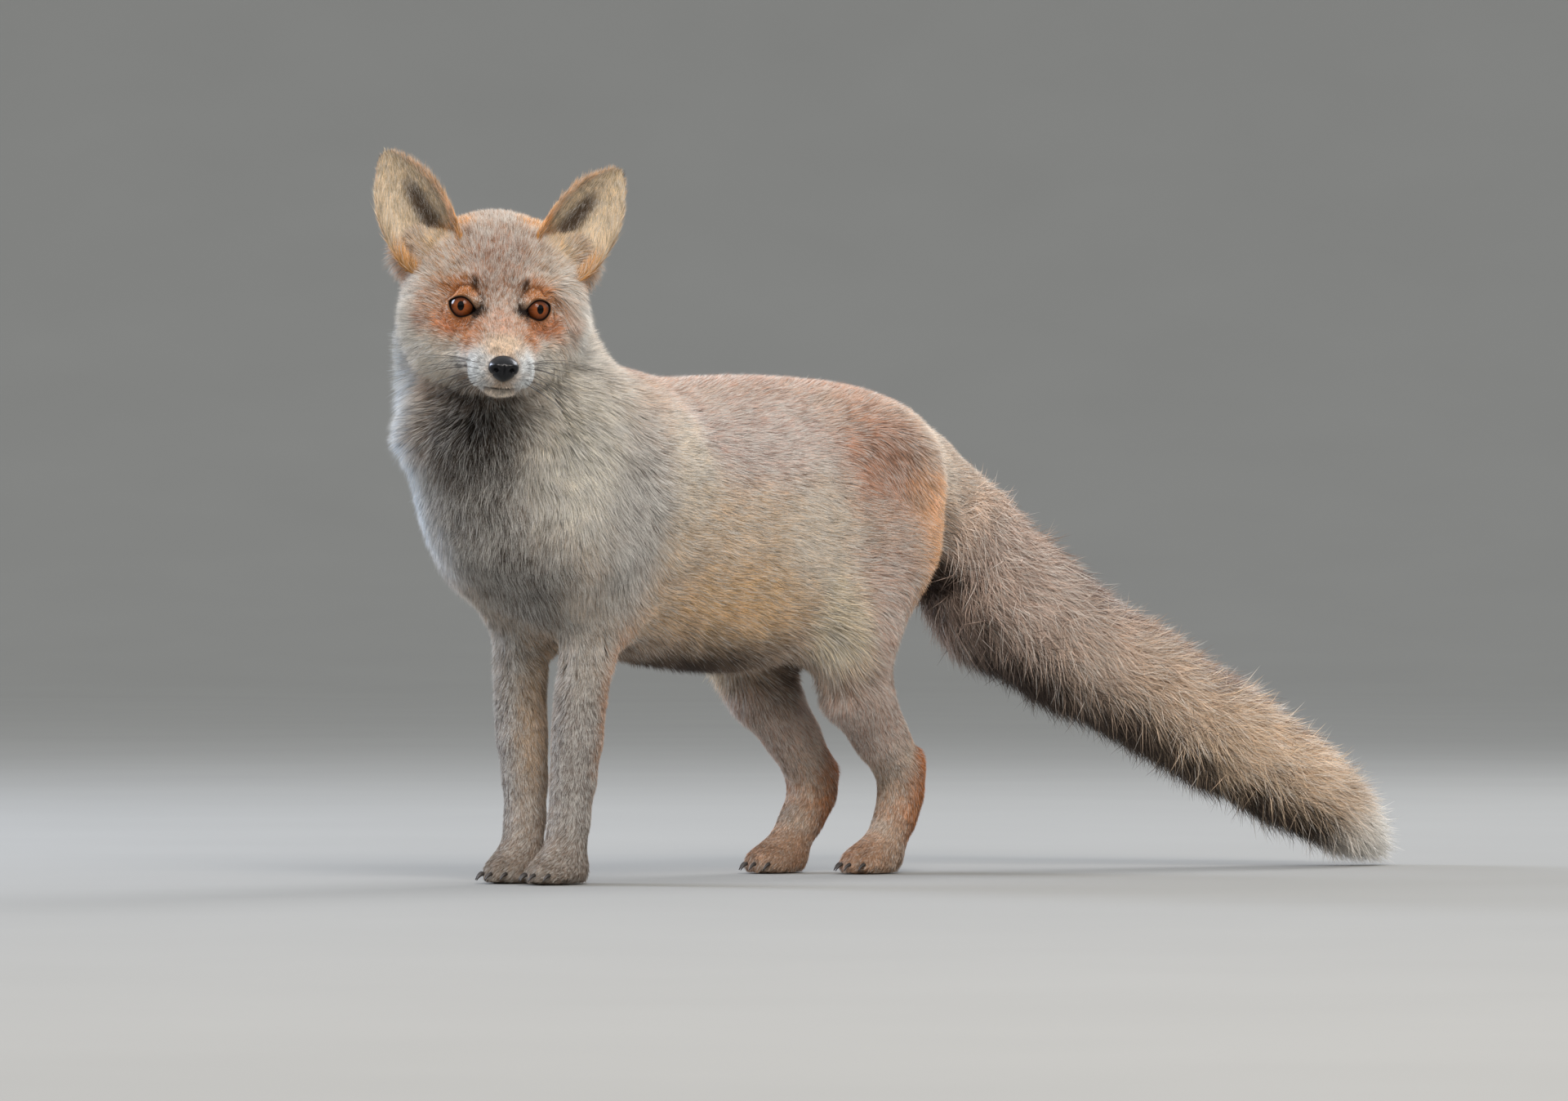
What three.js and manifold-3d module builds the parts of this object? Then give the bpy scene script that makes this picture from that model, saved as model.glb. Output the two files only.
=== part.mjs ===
// A red fox (Vulpes vulpes) standing still, life size, as a museum shows it.
// Millimetres, +Z up. The fox faces -Y and its left side is +X. Its head is raised and turned to its left,
// its tail hangs back and swings to its left, and its four paws stand flat on the floor at Z = 0.
//
// The body is one smooth form: a signed field that is negative inside. It is meshed piece by piece, each at
// its own fineness, and parted by thin straight cuts where a person would name its parts. All sizes are
// those of the coat's outer surface, out to the hair tips.

import * as THREE from "three";
import { mergeVertices } from "three/addons/utils/BufferGeometryUtils.js";
import Module from "manifold-3d";

const wasm = await Module();
wasm.setup();

// ---------------------------------------------------------------- driving dimensions

const GAP = 0.3; // the thin cut between two neighbouring pieces
const BLOCK = 2400; // larger than the whole animal
const CENTRE = [50.3, 128.8, 0]; // the middle of its breadth and length, from between the shoulders
const LEFT = 1;
const RIGHT = -1;

// The trunk, from the breast back to the rump: half its width, its back line and its belly line.
const TRUNK = [
  { y: -222, half: 52, top: 318, bottom: 226 },
  { y: -195, half: 68, top: 342, bottom: 202 },
  { y: -155, half: 76, top: 362, bottom: 184 },
  { y: -100, half: 78, top: 370, bottom: 167 },
  { y: -50, half: 79, top: 372, bottom: 158 },
  { y: 0, half: 78, top: 374, bottom: 153 },
  { y: 45, half: 74, top: 375.5, bottom: 153 },
  { y: 90, half: 68, top: 375, bottom: 163 },
  { y: 135, half: 64, top: 372, bottom: 182 },
  { y: 182, half: 58, top: 366, bottom: 210 },
  { y: 215, half: 46, top: 353, bottom: 238 },
  { y: 240, half: 32, top: 339, bottom: 262 },
];

// Chains of joints: where each joint is on the left side, and the limb's radius there.
const NECK = [
  { at: [0, -120, 296], r: 84 },
  { at: [-2, -178, 314], r: 88 },
  { at: [0, -206, 345], r: 81 },
  { at: [-1, -212, 392], r: 75 },
  { at: [5, -216, 418], r: 66 },
];
const SHOULDER = [
  { at: [44, -120, 318], r: 36 },
  { at: [50, -172, 250], r: 40 },
  { at: [40, -140, 205], r: 30 },
];
const FORELEG = [
  { at: [38, -140, 205], r: 28 },
  { at: [33, -152, 168], r: 22 },
  { at: [31, -155.5, 138], r: 19.4 },
  { at: [28.5, -156.5, 108], r: 19.2 },
  { at: [24.5, -157, 78], r: 17.2 },
  { at: [22.5, -159, 48], r: 15.2 },
  { at: [22, -163, 24], r: 15.5 },
];
const THIGH = [
  { at: [34, 165, 300], r: 48 },
  { at: [40, 150, 250], r: 50 },
  { at: [46, 118, 196], r: 42 },
];
// The two hind legs stand apart: the left one is set back, the right one forward and more bent.
const HIND_LEG = {
  [LEFT]: [
    { at: [46, 112, 186], r: 38 },
    { at: [41, 130, 138], r: 28 },
    { at: [38, 159, 104], r: 21 },
    { at: [36, 183, 80], r: 18.5 },
    { at: [34, 187, 58], r: 16.6 },
    { at: [33, 182.5, 42], r: 15.6 },
    { at: [32, 171, 22], r: 15.5 },
  ],
  [RIGHT]: [
    { at: [46, 96, 180], r: 38 },
    { at: [41, 117, 135], r: 27.5 },
    { at: [38, 143, 104], r: 21.5 },
    { at: [36, 162, 77], r: 19 },
    { at: [34, 162, 58], r: 17.4 },
    { at: [33, 151, 42], r: 16.4 },
    { at: [32, 134, 22], r: 15.5 },
  ],
};
const HEEL = {
  [LEFT]: [
    { at: [35, 203, 90], r: 8.5 },
    { at: [35, 194, 66], r: 11 },
  ],
  [RIGHT]: [
    { at: [35, 186, 79], r: 8.5 },
    { at: [35, 171, 60], r: 11 },
  ],
};
const TAIL = [
  { at: [1, 236, 306], r: 34 },
  { at: [13, 268, 257], r: 51 },
  { at: [28, 298, 214], r: 58 },
  { at: [56, 344, 174], r: 52 },
  { at: [86, 396, 141], r: 47 },
  { at: [118, 452, 104], r: 45 },
  { at: [147, 501, 70], r: 40 },
  { at: [166, 534, 44], r: 31 },
  { at: [177, 554, 27], r: 18 },
  { at: [186, 569, 16], r: 7 },
];

// Paws: the ball of each foot on the floor, and the size of one.
const FOREPAW = { x: 22, y: -170 };
const HINDPAW = { [LEFT]: { x: 31, y: 158 }, [RIGHT]: { x: 31, y: 120 } };
const PAW_WIDTH = 37;
const PAW_LENGTH = 54;
const PAW_HEIGHT = 27;
const TOE_RADIUS = 8.5;

// The head has a frame of its own: origin midway between the eyes, facing -Y.
const HEAD_AT = [51, -260.5, 416.7];
const HEAD_TURN = 49.5; // degrees to the fox's left
const HEAD_TILT = 2.5; // degrees, its left side down
const HEAD = [
  { y: 104, half: 40, top: 42, bottom: -45 },
  { y: 82, half: 55, top: 61, bottom: -56 },
  { y: 56, half: 62, top: 71, bottom: -60 },
  { y: 30, half: 61, top: 62, bottom: -60 },
  { y: 12, half: 56, top: 44, bottom: -60 },
  { y: -2, half: 45, top: 23, bottom: -59 },
  { y: -16, half: 33, top: 5, bottom: -58 },
  { y: -30, half: 26, top: -8, bottom: -58 },
  { y: -44, half: 21.5, top: -19, bottom: -58 },
  { y: -54, half: 18, top: -27, bottom: -57 },
  { y: -61, half: 12.5, top: -34, bottom: -55 },
];
const EYE_AT = [25.6, -6.5, 0];
const EYE_RADIUS = 8.8;
const NOSE_AT = [0, -63, -44.5];
const NOSE_SIZE = [11.6, 9, 10.4];

// Ears: a leaf rolled into a cup. The left one is splayed a little more than the right.
const EAR_LENGTH = 88;
const EAR_THICKNESS = 4.6;
const EAR_BASE = [46, 44, 46];
const EAR_LEAN = { [LEFT]: [43, 27, 57], [RIGHT]: [35, 27, 63] };
const EAR_FACING = [0.42, -0.9, 0.1];
const EAR_SHAPE = [
  { y: 0, half: 25, wrap: 78 },
  { y: 0.2, half: 29, wrap: 68 },
  { y: 0.45, half: 29, wrap: 56 },
  { y: 0.7, half: 22, wrap: 46 },
  { y: 0.88, half: 13, wrap: 38 },
  { y: 1, half: 4, wrap: 30 },
];

// Colours.
const GREY_FAWN = 0xa08d7c;
const RUFF_GREY = 0x9a948c;
const BACK_RUSSET = 0xa17f6c;
const LEG_GREY = 0x6f675f;
const SHANK_RUST = 0xb0704a;
const TAIL_BROWN = 0x8d7866;
const TAIL_WHITE = 0xc9c4bd;
const EAR_BUFF = 0xb89d7d;
const NOSE_BLACK = 0x1b1b1f;
const EYE_AMBER = 0xa4562a;

// ---------------------------------------------------------------- fields

const clamp = (v, low, high) => Math.min(Math.max(v, low), high);
const mirrored = (at, side) => [at[0] * side, at[1], at[2]];

/** The smaller of two distances, rounded where they meet over a width of about k. */
function blend(a, b, k) {
  const h = Math.max(k - Math.abs(a - b), 0) / k;
  return Math.min(a, b) - (h * h * k) / 4;
}

/** A Catmull-Rom value of each named size at y, from stations sorted by y. */
function along(stations, y) {
  const last = stations.length - 1;
  const rising = stations[last].y > stations[0].y;
  let i = 0;
  while (i < last - 1 && (rising ? y > stations[i + 1].y : y < stations[i + 1].y)) i += 1;
  const [p0, p1, p2, p3] = [i - 1, i, i + 1, i + 2].map((j) => stations[clamp(j, 0, last)]);
  const t = clamp((y - p1.y) / (p2.y - p1.y), 0, 1);
  const sizes = {};
  for (const key of Object.keys(p1)) {
    const bend = p3[key] - p0[key] + 3 * (p1[key] - p2[key]);
    const pull = 2 * p0[key] - 5 * p1[key] + 4 * p2[key] - p3[key];
    sizes[key] = p1[key] + 0.5 * t * (p2[key] - p0[key] + t * (pull + t * bend));
  }
  return sizes;
}

/** A chain of round cones between joints. */
function chain(joints, side = LEFT) {
  const bones = joints.slice(1).map((end, i) => {
    const from = new THREE.Vector3(...mirrored(joints[i].at, side));
    const to = new THREE.Vector3(...mirrored(end.at, side));
    const run = to.clone().sub(from);
    return { from, run, length2: run.lengthSq(), r0: joints[i].r, r1: end.r };
  });
  return (x, y, z) => {
    let nearest = Infinity;
    for (const { from, run, length2, r0, r1 } of bones) {
      const [dx, dy, dz] = [x - from.x, y - from.y, z - from.z];
      const t = clamp((dx * run.x + dy * run.y + dz * run.z) / length2, 0, 1);
      const away = Math.hypot(dx - t * run.x, dy - t * run.y, dz - t * run.z);
      nearest = blend(nearest, away - (r0 + (r1 - r0) * t), 6);
    }
    return nearest;
  };
}

function ellipsoid([cx, cy, cz], [rx, ry, rz]) {
  return (x, y, z) => {
    const [px, py, pz] = [(x - cx) / rx, (y - cy) / ry, (z - cz) / rz];
    const k0 = Math.hypot(px, py, pz);
    const k1 = Math.hypot(px / rx, py / ry, pz / rz);
    return k1 < 1e-9 ? -Math.min(rx, ry, rz) : (k0 * (k0 - 1)) / k1;
  };
}

/** A barrel along Y whose upright sections follow the stations; round caps close it. */
function barrel(stations) {
  const ends = [stations[0].y, stations.at(-1).y];
  const [low, high] = [Math.min(...ends), Math.max(...ends)];
  return (x, y, z) => {
    const s = along(stations, clamp(y, low, high));
    const tall = (s.top - s.bottom) / 2;
    const dz = z - (s.top + s.bottom) / 2;
    const beyond = y - clamp(y, low, high);
    const cap = Math.min(s.half, tall) * 0.6;
    const k0 = Math.hypot(x / s.half, dz / tall, beyond / cap);
    const k1 = Math.hypot(x / s.half ** 2, dz / tall ** 2, beyond / cap ** 2);
    return k1 < 1e-9 ? -Math.min(s.half, tall) : (k0 * (k0 - 1)) / k1;
  };
}

const joined = (k, ...fields) => (x, y, z) => fields.reduce((d, f) => blend(d, f(x, y, z), k), Infinity);

// ---------------------------------------------------------------- the body's form

const headFrame = new THREE.Matrix4()
  .makeRotationZ(THREE.MathUtils.degToRad(HEAD_TURN))
  .multiply(new THREE.Matrix4().makeRotationY(THREE.MathUtils.degToRad(HEAD_TILT)))
  .setPosition(...HEAD_AT);
const intoHead = headFrame.clone().invert();

/** A field of the head's own frame, read in the body's frame. */
function inHead(field) {
  const p = new THREE.Vector3();
  return (x, y, z) => {
    p.set(x, y, z).applyMatrix4(intoHead);
    return field(p.x, p.y, p.z);
  };
}

function headForm() {
  const both = (at, radii) => [LEFT, RIGHT].map((side) => ellipsoid(mirrored(at, side), radii));
  return joined(
    14,
    barrel(HEAD),
    ...both([40, 38, -16], [32, 34, 40]), // cheek ruffs
    ...both([19, 6, 15], [15, 12, 11]), // brows
    ...both([25, 3, -24], [19, 16, 22]), // cheekbones below the eyes
    ...both([12, -45, -47.5], [10.5, 16, 9.5]), // upper lips
    ellipsoid([0, -43, -57], [11, 16, 6]), // chin
  );
}

/** A paw: a low pad with four toes at its front edge. */
function pawForm({ x, y }, side) {
  const pad = ellipsoid([x * side, y, PAW_HEIGHT * 0.36], [PAW_WIDTH / 2, PAW_LENGTH / 2, PAW_HEIGHT * 0.62]);
  const toes = [-1.5, -0.5, 0.5, 1.5].map((n) => {
    const inner = Math.abs(n) < 1;
    const at = [x * side + n * TOE_RADIUS * 0.98, y - (inner ? 21 : 14), TOE_RADIUS * 0.8];
    return ellipsoid(at, [TOE_RADIUS * 0.72, TOE_RADIUS * 1.25, TOE_RADIUS * 1.05]);
  });
  return joined(3, pad, ...toes);
}

const trunkForm = barrel(TRUNK);
const head = inHead(headForm());
const neck = chain(NECK);
const tail = chain(TAIL);
const torso = joined(
  30,
  trunkForm,
  ...[LEFT, RIGHT].flatMap((side) => [chain(SHOULDER, side), chain(THIGH, side)]),
);
const foreleg = { [LEFT]: chain(FORELEG, LEFT), [RIGHT]: chain(FORELEG, RIGHT) };
const hindLeg = {};
for (const side of [LEFT, RIGHT]) {
  hindLeg[side] = joined(9, chain(HIND_LEG[side], side), chain(HEEL[side], side));
}
const forepaw = { [LEFT]: pawForm(FOREPAW, LEFT), [RIGHT]: pawForm(FOREPAW, RIGHT) };
const hindpaw = { [LEFT]: pawForm(HINDPAW[LEFT], LEFT), [RIGHT]: pawForm(HINDPAW[RIGHT], RIGHT) };

const core = joined(26, torso, neck);

/** The whole body's form, with one side's legs only, so that the legs never merge with each other. */
function bodyForm(side) {
  const rear = joined(16, core, tail);
  const face = joined(20, rear, head);
  const limbs = joined(12, foreleg[side], hindLeg[side]);
  const paws = joined(9, forepaw[side], hindpaw[side]);
  return joined(14, face, joined(10, limbs, paws));
}
const body = { [LEFT]: bodyForm(LEFT), [RIGHT]: bodyForm(RIGHT) };
const wholeBody = (x, y, z) => Math.min(body[LEFT](x, y, z), body[RIGHT](x, y, z));

// ---------------------------------------------------------------- from a field to a solid

/** A closed mesh of the field's zero surface inside a box, one vertex to each cell that it crosses. */
function surfaceOf(field, { low, high, cell }) {
  const count = [0, 1, 2].map((a) => Math.ceil((high[a] - low[a]) / cell) + 3);
  const at = (i, a) => low[a] + (i - 1) * cell;
  const [nx, ny, nz] = count;
  const index = (i, j, k) => i + nx * (j + ny * k);
  const onRim = (i, j, k) => i === 0 || j === 0 || k === 0 || i === nx - 1 || j === ny - 1 || k === nz - 1;
  const values = new Float32Array(nx * ny * nz);
  for (let k = 0; k < nz; k += 1)
    for (let j = 0; j < ny; j += 1)
      for (let i = 0; i < nx; i += 1)
        values[index(i, j, k)] = onRim(i, j, k) ? cell : field(at(i, 0), at(j, 1), at(k, 2));

  const steps = [index(1, 0, 0), index(0, 1, 0), index(0, 0, 1)];
  const vertexOf = new Int32Array(values.length).fill(-1);
  const points = [];
  const gradient = (x, y, z) => {
    const e = 0.5;
    return new THREE.Vector3(
      field(x + e, y, z) - field(x - e, y, z),
      field(x, y + e, z) - field(x, y - e, z),
      field(x, y, z + e) - field(x, y, z - e),
    );
  };
  const settled = (p) => {
    for (let n = 0; n < 3; n += 1) {
      const slope = gradient(p.x, p.y, p.z);
      const off = field(p.x, p.y, p.z);
      p.addScaledVector(slope, -off / Math.max(slope.lengthSq(), 0.2));
    }
    return p;
  };
  for (let k = 0; k < nz - 1; k += 1)
    for (let j = 0; j < ny - 1; j += 1)
      for (let i = 0; i < nx - 1; i += 1) {
        const base = index(i, j, k);
        const sum = new THREE.Vector3();
        let crossings = 0;
        for (let axis = 0; axis < 3; axis += 1) {
          const [b, c] = [(axis + 1) % 3, (axis + 2) % 3];
          for (const [ob, oc] of [[0, 0], [1, 0], [0, 1], [1, 1]]) {
            const start = base + ob * steps[b] + oc * steps[c];
            const [va, vb] = [values[start], values[start + steps[axis]]];
            if (va < 0 === vb < 0) continue;
            const offset = [0, 0, 0];
            offset[axis] = va / (va - vb);
            offset[b] = ob;
            offset[c] = oc;
            sum.add(new THREE.Vector3(...offset));
            crossings += 1;
          }
        }
        if (!crossings) continue;
        const floor = new THREE.Vector3(at(i, 0), at(j, 1), at(k, 2));
        const point = sum.multiplyScalar(cell / crossings).add(floor);
        const inner = i > 0 && j > 0 && k > 0 && i < nx - 2 && j < ny - 2 && k < nz - 2;
        if (inner) settled(point).clamp(floor, floor.clone().addScalar(cell));
        vertexOf[base] = points.length / 3;
        points.push(...point.toArray());
      }

  const faces = [];
  const corner = (n) => new THREE.Vector3().fromArray(points, n * 3);
  for (let k = 0; k < nz - 1; k += 1)
    for (let j = 0; j < ny - 1; j += 1)
      for (let i = 0; i < nx - 1; i += 1) {
        const base = index(i, j, k);
        const grid = [i, j, k];
        for (let axis = 0; axis < 3; axis += 1) {
          const [va, vb] = [values[base], values[base + steps[axis]]];
          if (va < 0 === vb < 0 || !grid[(axis + 1) % 3] || !grid[(axis + 2) % 3]) continue;
          const [b, c] = [steps[(axis + 1) % 3], steps[(axis + 2) % 3]];
          const ring = [base - b - c, base - c, base, base - b].map((n) => vertexOf[n]);
          if (va >= 0) ring.reverse();
          const [p, q, r, s] = ring;
          const straight = corner(p).distanceTo(corner(r)) < corner(q).distanceTo(corner(s));
          faces.push(...(straight ? [p, q, r, p, r, s] : [q, r, s, q, s, p]));
        }
      }
  return new wasm.Manifold(
    new wasm.Mesh({ numProp: 3, vertProperties: new Float32Array(points), triVerts: new Uint32Array(faces) }),
  );
}

/** A three.js geometry, placed by a matrix, as a solid that can be joined and cut. */
function solidOf(geometry, matrix = new THREE.Matrix4()) {
  const bare = geometry.clone().applyMatrix4(matrix);
  bare.deleteAttribute("normal");
  bare.deleteAttribute("uv");
  const welded = mergeVertices(bare, 1e-3);
  return new wasm.Manifold(
    new wasm.Mesh({
      numProp: 3,
      vertProperties: welded.attributes.position.array,
      triVerts: new Uint32Array(welded.index.array),
    }),
  );
}

function geometryOf(solid) {
  const { vertProperties, triVerts } = solid.getMesh();
  const indexed = new THREE.BufferGeometry()
    .setAttribute("position", new THREE.BufferAttribute(new Float32Array(vertProperties), 3))
    .setIndex(new THREE.BufferAttribute(new Uint32Array(triVerts), 1));
  const geometry = indexed.toNonIndexed().translate(...CENTRE.map((v) => -v));
  geometry.computeVertexNormals();
  return geometry;
}

/** A big block on the side of a plane that its normal points away from, and half a gap beyond the plane. */
function behind({ at, normal }) {
  const size = BLOCK;
  const turn = new THREE.Quaternion().setFromUnitVectors(
    new THREE.Vector3(0, 0, 1),
    new THREE.Vector3(...normal).normalize(),
  );
  const place = new THREE.Vector3(0, 0, (GAP - size) / 2).applyQuaternion(turn).add(new THREE.Vector3(...at));
  const matrix = new THREE.Matrix4().compose(place, turn, new THREE.Vector3(1, 1, 1));
  return solidOf(new THREE.BoxGeometry(size, size, size), matrix);
}

/** Keeps what lies on the positive side of every plane, half a gap clear of it. */
const kept = (solid, ...planes) => planes.reduce((left, plane) => left.subtract(behind(plane)), solid);
const flipped = ({ at, normal }) => ({ at, normal: normal.map((v) => -v) });
const onSide = ({ at, normal }, side) => ({ at: mirrored(at, side), normal: mirrored(normal, side) });

/** Takes away the part of a solid that lies on the positive side of every plane, and half a gap more. */
function without(solid, ...planes) {
  const blocks = planes.map((plane) => behind(flipped(plane)));
  return solid.subtract(blocks.reduce((region, block) => region.intersect(block)));
}

// ---------------------------------------------------------------- where the body is parted

const FLOOR = { at: [0, 0, -GAP / 2], normal: [0, 0, 1] };
const MIDLINE = { at: [0, 0, 0], normal: [1, 0, 0] };
const STOP = { at: [0, -22, -40], normal: [0, -1, 0] }; // between brow and muzzle, in the head's frame
const LIPS = { at: [0, 0, -58], normal: [0, 0, 1] }; // in the head's frame
const THROAT = { at: [12, -228, 392], normal: [0.42, -0.62, 0.66] };
const COLLAR = { at: [0, -150, 335], normal: [0, -0.88, 0.47] };
const ARMPIT = { at: [0, -126, 168], normal: [0, -0.35, -0.94] };
const BEHIND_ELBOW = { at: [0, -112, 170], normal: [0, -1, -0.1] };
const CARPUS = { at: [0, -157, 58], normal: [0, 0.08, -1] };
const THIGH_TOP = { at: [30, 120, 214], normal: [0.86, 0, -0.5] };
const GROIN = { at: [4, 0, 0], normal: [1, 0, 0] };
const THIGH_FRONT = { at: [0, 66, 200], normal: [0, 1, -0.12] };
const STIFLE = { [LEFT]: [0, 121, 158], [RIGHT]: [0, 106, 154] };
const SHANK_LIE = [0, 0.5, -0.86];
const HOCK = { [LEFT]: [0, 186, 68], [RIGHT]: [0, 165, 66] };
const HOCK_LIE = [0, -0.1, -1];
const TAIL_CUTS = [
  { at: [3, 240, 300], normal: [0.2, 0.93, -0.3] },
  { at: [72, 374, 172], normal: [0.45, 0.76, -0.47] },
  { at: [134, 481, 99], normal: [0.45, 0.76, -0.47] },
];

// The room that each piece is meshed in, and how fine its mesh is. Legs are given for the left side.
const SKULL_ROOM = { low: [-80, -340, 320], high: [120, -160, 510], cell: 12 };
const MUZZLE_ROOM = { low: [20, -345, 335], high: [130, -255, 425], cell: 8 };
const NECK_ROOM = { low: [-110, -330, 150], high: [110, -100, 480], cell: 26 };
const TRUNK_ROOM = { low: [-104, -300, 146], high: [104, 290, 400], cell: 28 };
const FORELEG_ROOM = { low: [-6, -215, 40], high: [90, -90, 240], cell: 14 };
const FOREPAW_ROOM = { low: [-6, -215, -9], high: [60, -120, 75], cell: 9.5 };
const THIGH_ROOM = { low: [-6, 30, 132], high: [110, 270, 380], cell: 20 };
const SHANK_ROOM = { low: [-2, 50, 50], high: [90, 230, 200], cell: 14 };
const HIND_FOOT_ROOM = { low: [-2, 70, -9], high: [80, 230, 90], cell: 9 };
const TAIL_ROOM = { low: [-70, 200, -10], high: [260, 640, 400], cell: 28 };
const BALL_SLICES = 12; // facets round an eyeball or the nose
const BALL_STACKS = 8;
const EAR_ROWS = 8;
const EAR_COLUMNS = 6;
const EAR_ROOT = 10; // how far an ear reaches down into the skull before it is cut clear

// ---------------------------------------------------------------- the pieces

function headSolids() {
  const placed = ({ at, normal }) => ({
    at: new THREE.Vector3(...at).applyMatrix4(headFrame).toArray(),
    normal: new THREE.Vector3(...normal).transformDirection(headFrame).toArray(),
  });
  const lips = placed(LIPS);
  const stop = placed(STOP);
  const ball = (at, radii, spare = 0) => {
    const swollen = new THREE.Vector3(...radii).addScalar(spare);
    const place = headFrame.clone().multiply(new THREE.Matrix4().makeTranslation(...at)).scale(swollen);
    return solidOf(new THREE.SphereGeometry(1, BALL_SLICES, BALL_STACKS), place);
  };
  const eyeball = [EYE_RADIUS, EYE_RADIUS, EYE_RADIUS];
  const eyes = [LEFT, RIGHT].map((side) => mirrored(EYE_AT, side));
  const sockets = eyes.map((at) => ball(at, eyeball, GAP));
  const skull = sockets.reduce((left, socket) => left.subtract(socket), surfaceOf(wholeBody, SKULL_ROOM));
  const muzzle = surfaceOf(wholeBody, MUZZLE_ROOM).subtract(ball(NOSE_AT, NOSE_SIZE, GAP));
  return {
    head: kept(skull, THROAT, flipped(stop)),
    muzzle: kept(muzzle, stop, lips),
    lower_jaw: kept(muzzle, stop, flipped(lips)),
    nose: ball(NOSE_AT, NOSE_SIZE),
    eye_left: ball(eyes[0], eyeball),
    eye_right: ball(eyes[1], eyeball),
  };
}

/** One ear: two skins over a curved leaf, closed round the rim, cut clear of the skull. */
function earSolid(side, skull) {
  const axis = new THREE.Vector3(...mirrored(EAR_LEAN[side], side)).normalize();
  const facing = new THREE.Vector3(...mirrored(EAR_FACING, side));
  facing.addScaledVector(axis, -facing.dot(axis)).normalize();
  const across = new THREE.Vector3().crossVectors(axis, facing);
  const base = new THREE.Vector3(...mirrored(EAR_BASE, side));
  const points = [];
  const ring = EAR_COLUMNS * 2;
  for (let i = 0; i <= EAR_ROWS; i += 1) {
    const up = i / EAR_ROWS;
    const { half, wrap } = along(EAR_SHAPE, up);
    const curl = THREE.MathUtils.degToRad(wrap);
    const radius = half / Math.sin(curl);
    for (let j = 0; j < ring; j += 1) {
      const front = j < EAR_COLUMNS;
      const v = front ? (2 * j + 1) / EAR_COLUMNS - 1 : 3 - (2 * j + 1) / EAR_COLUMNS;
      const thick = (EAR_THICKNESS / 2) * (1 - 0.55 * v ** 4) * (1 - 0.5 * up ** 3);
      const reach = radius + (front ? -thick : thick);
      const point = base.clone().addScaledVector(axis, up * EAR_LENGTH - EAR_ROOT);
      point.addScaledVector(across, reach * Math.sin(curl * v));
      points.push(point.addScaledVector(facing, radius * Math.cos(curl / 2) - reach * Math.cos(curl * v)));
    }
  }
  const middle = (row) => {
    const rim = points.slice(row * ring, (row + 1) * ring);
    return rim.reduce((sum, p) => sum.add(p), new THREE.Vector3()).divideScalar(ring);
  };
  const bottom = points.length;
  const top = bottom + 1;
  const ends = [middle(0), middle(EAR_ROWS)];
  points.push(...ends);
  const faces = [];
  for (let j = 0; j < ring; j += 1) {
    const next = (j + 1) % ring;
    for (let i = 0; i < EAR_ROWS; i += 1) {
      const [a, b] = [i * ring + j, i * ring + next];
      faces.push([a, b, b + ring], [a, b + ring, a + ring]);
    }
    faces.push([bottom, next, j], [top, EAR_ROWS * ring + j, EAR_ROWS * ring + next]);
  }
  const geometry = new THREE.BufferGeometry();
  geometry.setAttribute("position", new THREE.Float32BufferAttribute(points.flatMap((p) => p.toArray()), 3));
  geometry.setIndex(faces.flat());
  return solidOf(geometry, headFrame).subtract(skull);
}

function trunkSolids() {
  let trunk = kept(surfaceOf(wholeBody, TRUNK_ROOM), flipped(COLLAR), flipped(TAIL_CUTS[0]));
  trunk = without(trunk, ARMPIT, BEHIND_ELBOW);
  for (const side of [LEFT, RIGHT]) {
    trunk = without(trunk, onSide(GROIN, side), onSide(THIGH_TOP, side), THIGH_FRONT);
  }
  return {
    trunk: trunk.decompose().sort((a, b) => b.volume() - a.volume())[0],
    neck: kept(surfaceOf(wholeBody, NECK_ROOM), COLLAR, flipped(THROAT)),
  };
}

/** The left side's room, or its mirror image for the right side. */
function roomOn({ low, high, cell }, side) {
  if (side === LEFT) return { low, high, cell };
  return { low: [-high[0], low[1], low[2]], high: [-low[0], high[1], high[2]], cell };
}

function forelegSolids(side, word) {
  const midline = onSide(MIDLINE, side);
  const leg = surfaceOf(body[side], roomOn(FORELEG_ROOM, side));
  const paw = surfaceOf(body[side], roomOn(FOREPAW_ROOM, side));
  return {
    [`foreleg_${word}`]: kept(leg, midline, ARMPIT, BEHIND_ELBOW, flipped(CARPUS)),
    [`forepaw_${word}`]: kept(paw, midline, CARPUS, FLOOR),
  };
}

function hindLegSolids(side, word) {
  const inner = [onSide(GROIN, side), onSide(THIGH_TOP, side)];
  const stifle = { at: STIFLE[side], normal: SHANK_LIE };
  const hock = { at: HOCK[side], normal: HOCK_LIE };
  const thigh = surfaceOf(body[side], roomOn(THIGH_ROOM, side));
  const shank = surfaceOf(body[side], roomOn(SHANK_ROOM, side));
  const foot = surfaceOf(body[side], roomOn(HIND_FOOT_ROOM, side));
  const haunch = kept(thigh, ...inner, THIGH_FRONT, flipped(TAIL_CUTS[0]));
  return {
    [`thigh_${word}`]: kept(haunch, flipped(stifle)),
    [`shank_${word}`]: kept(shank, ...inner, stifle, flipped(hock)),
    [`hind_foot_${word}`]: kept(foot, hock, FLOOR),
  };
}

function tailSolids() {
  const length = surfaceOf(joined(16, core, tail), TAIL_ROOM);
  const [root, middle, end] = TAIL_CUTS;
  return {
    tail_root: kept(length, root, flipped(middle)),
    tail_middle: kept(length, middle, flipped(end)),
    tail_tip: kept(length, end),
  };
}

// ---------------------------------------------------------------- the group

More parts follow.
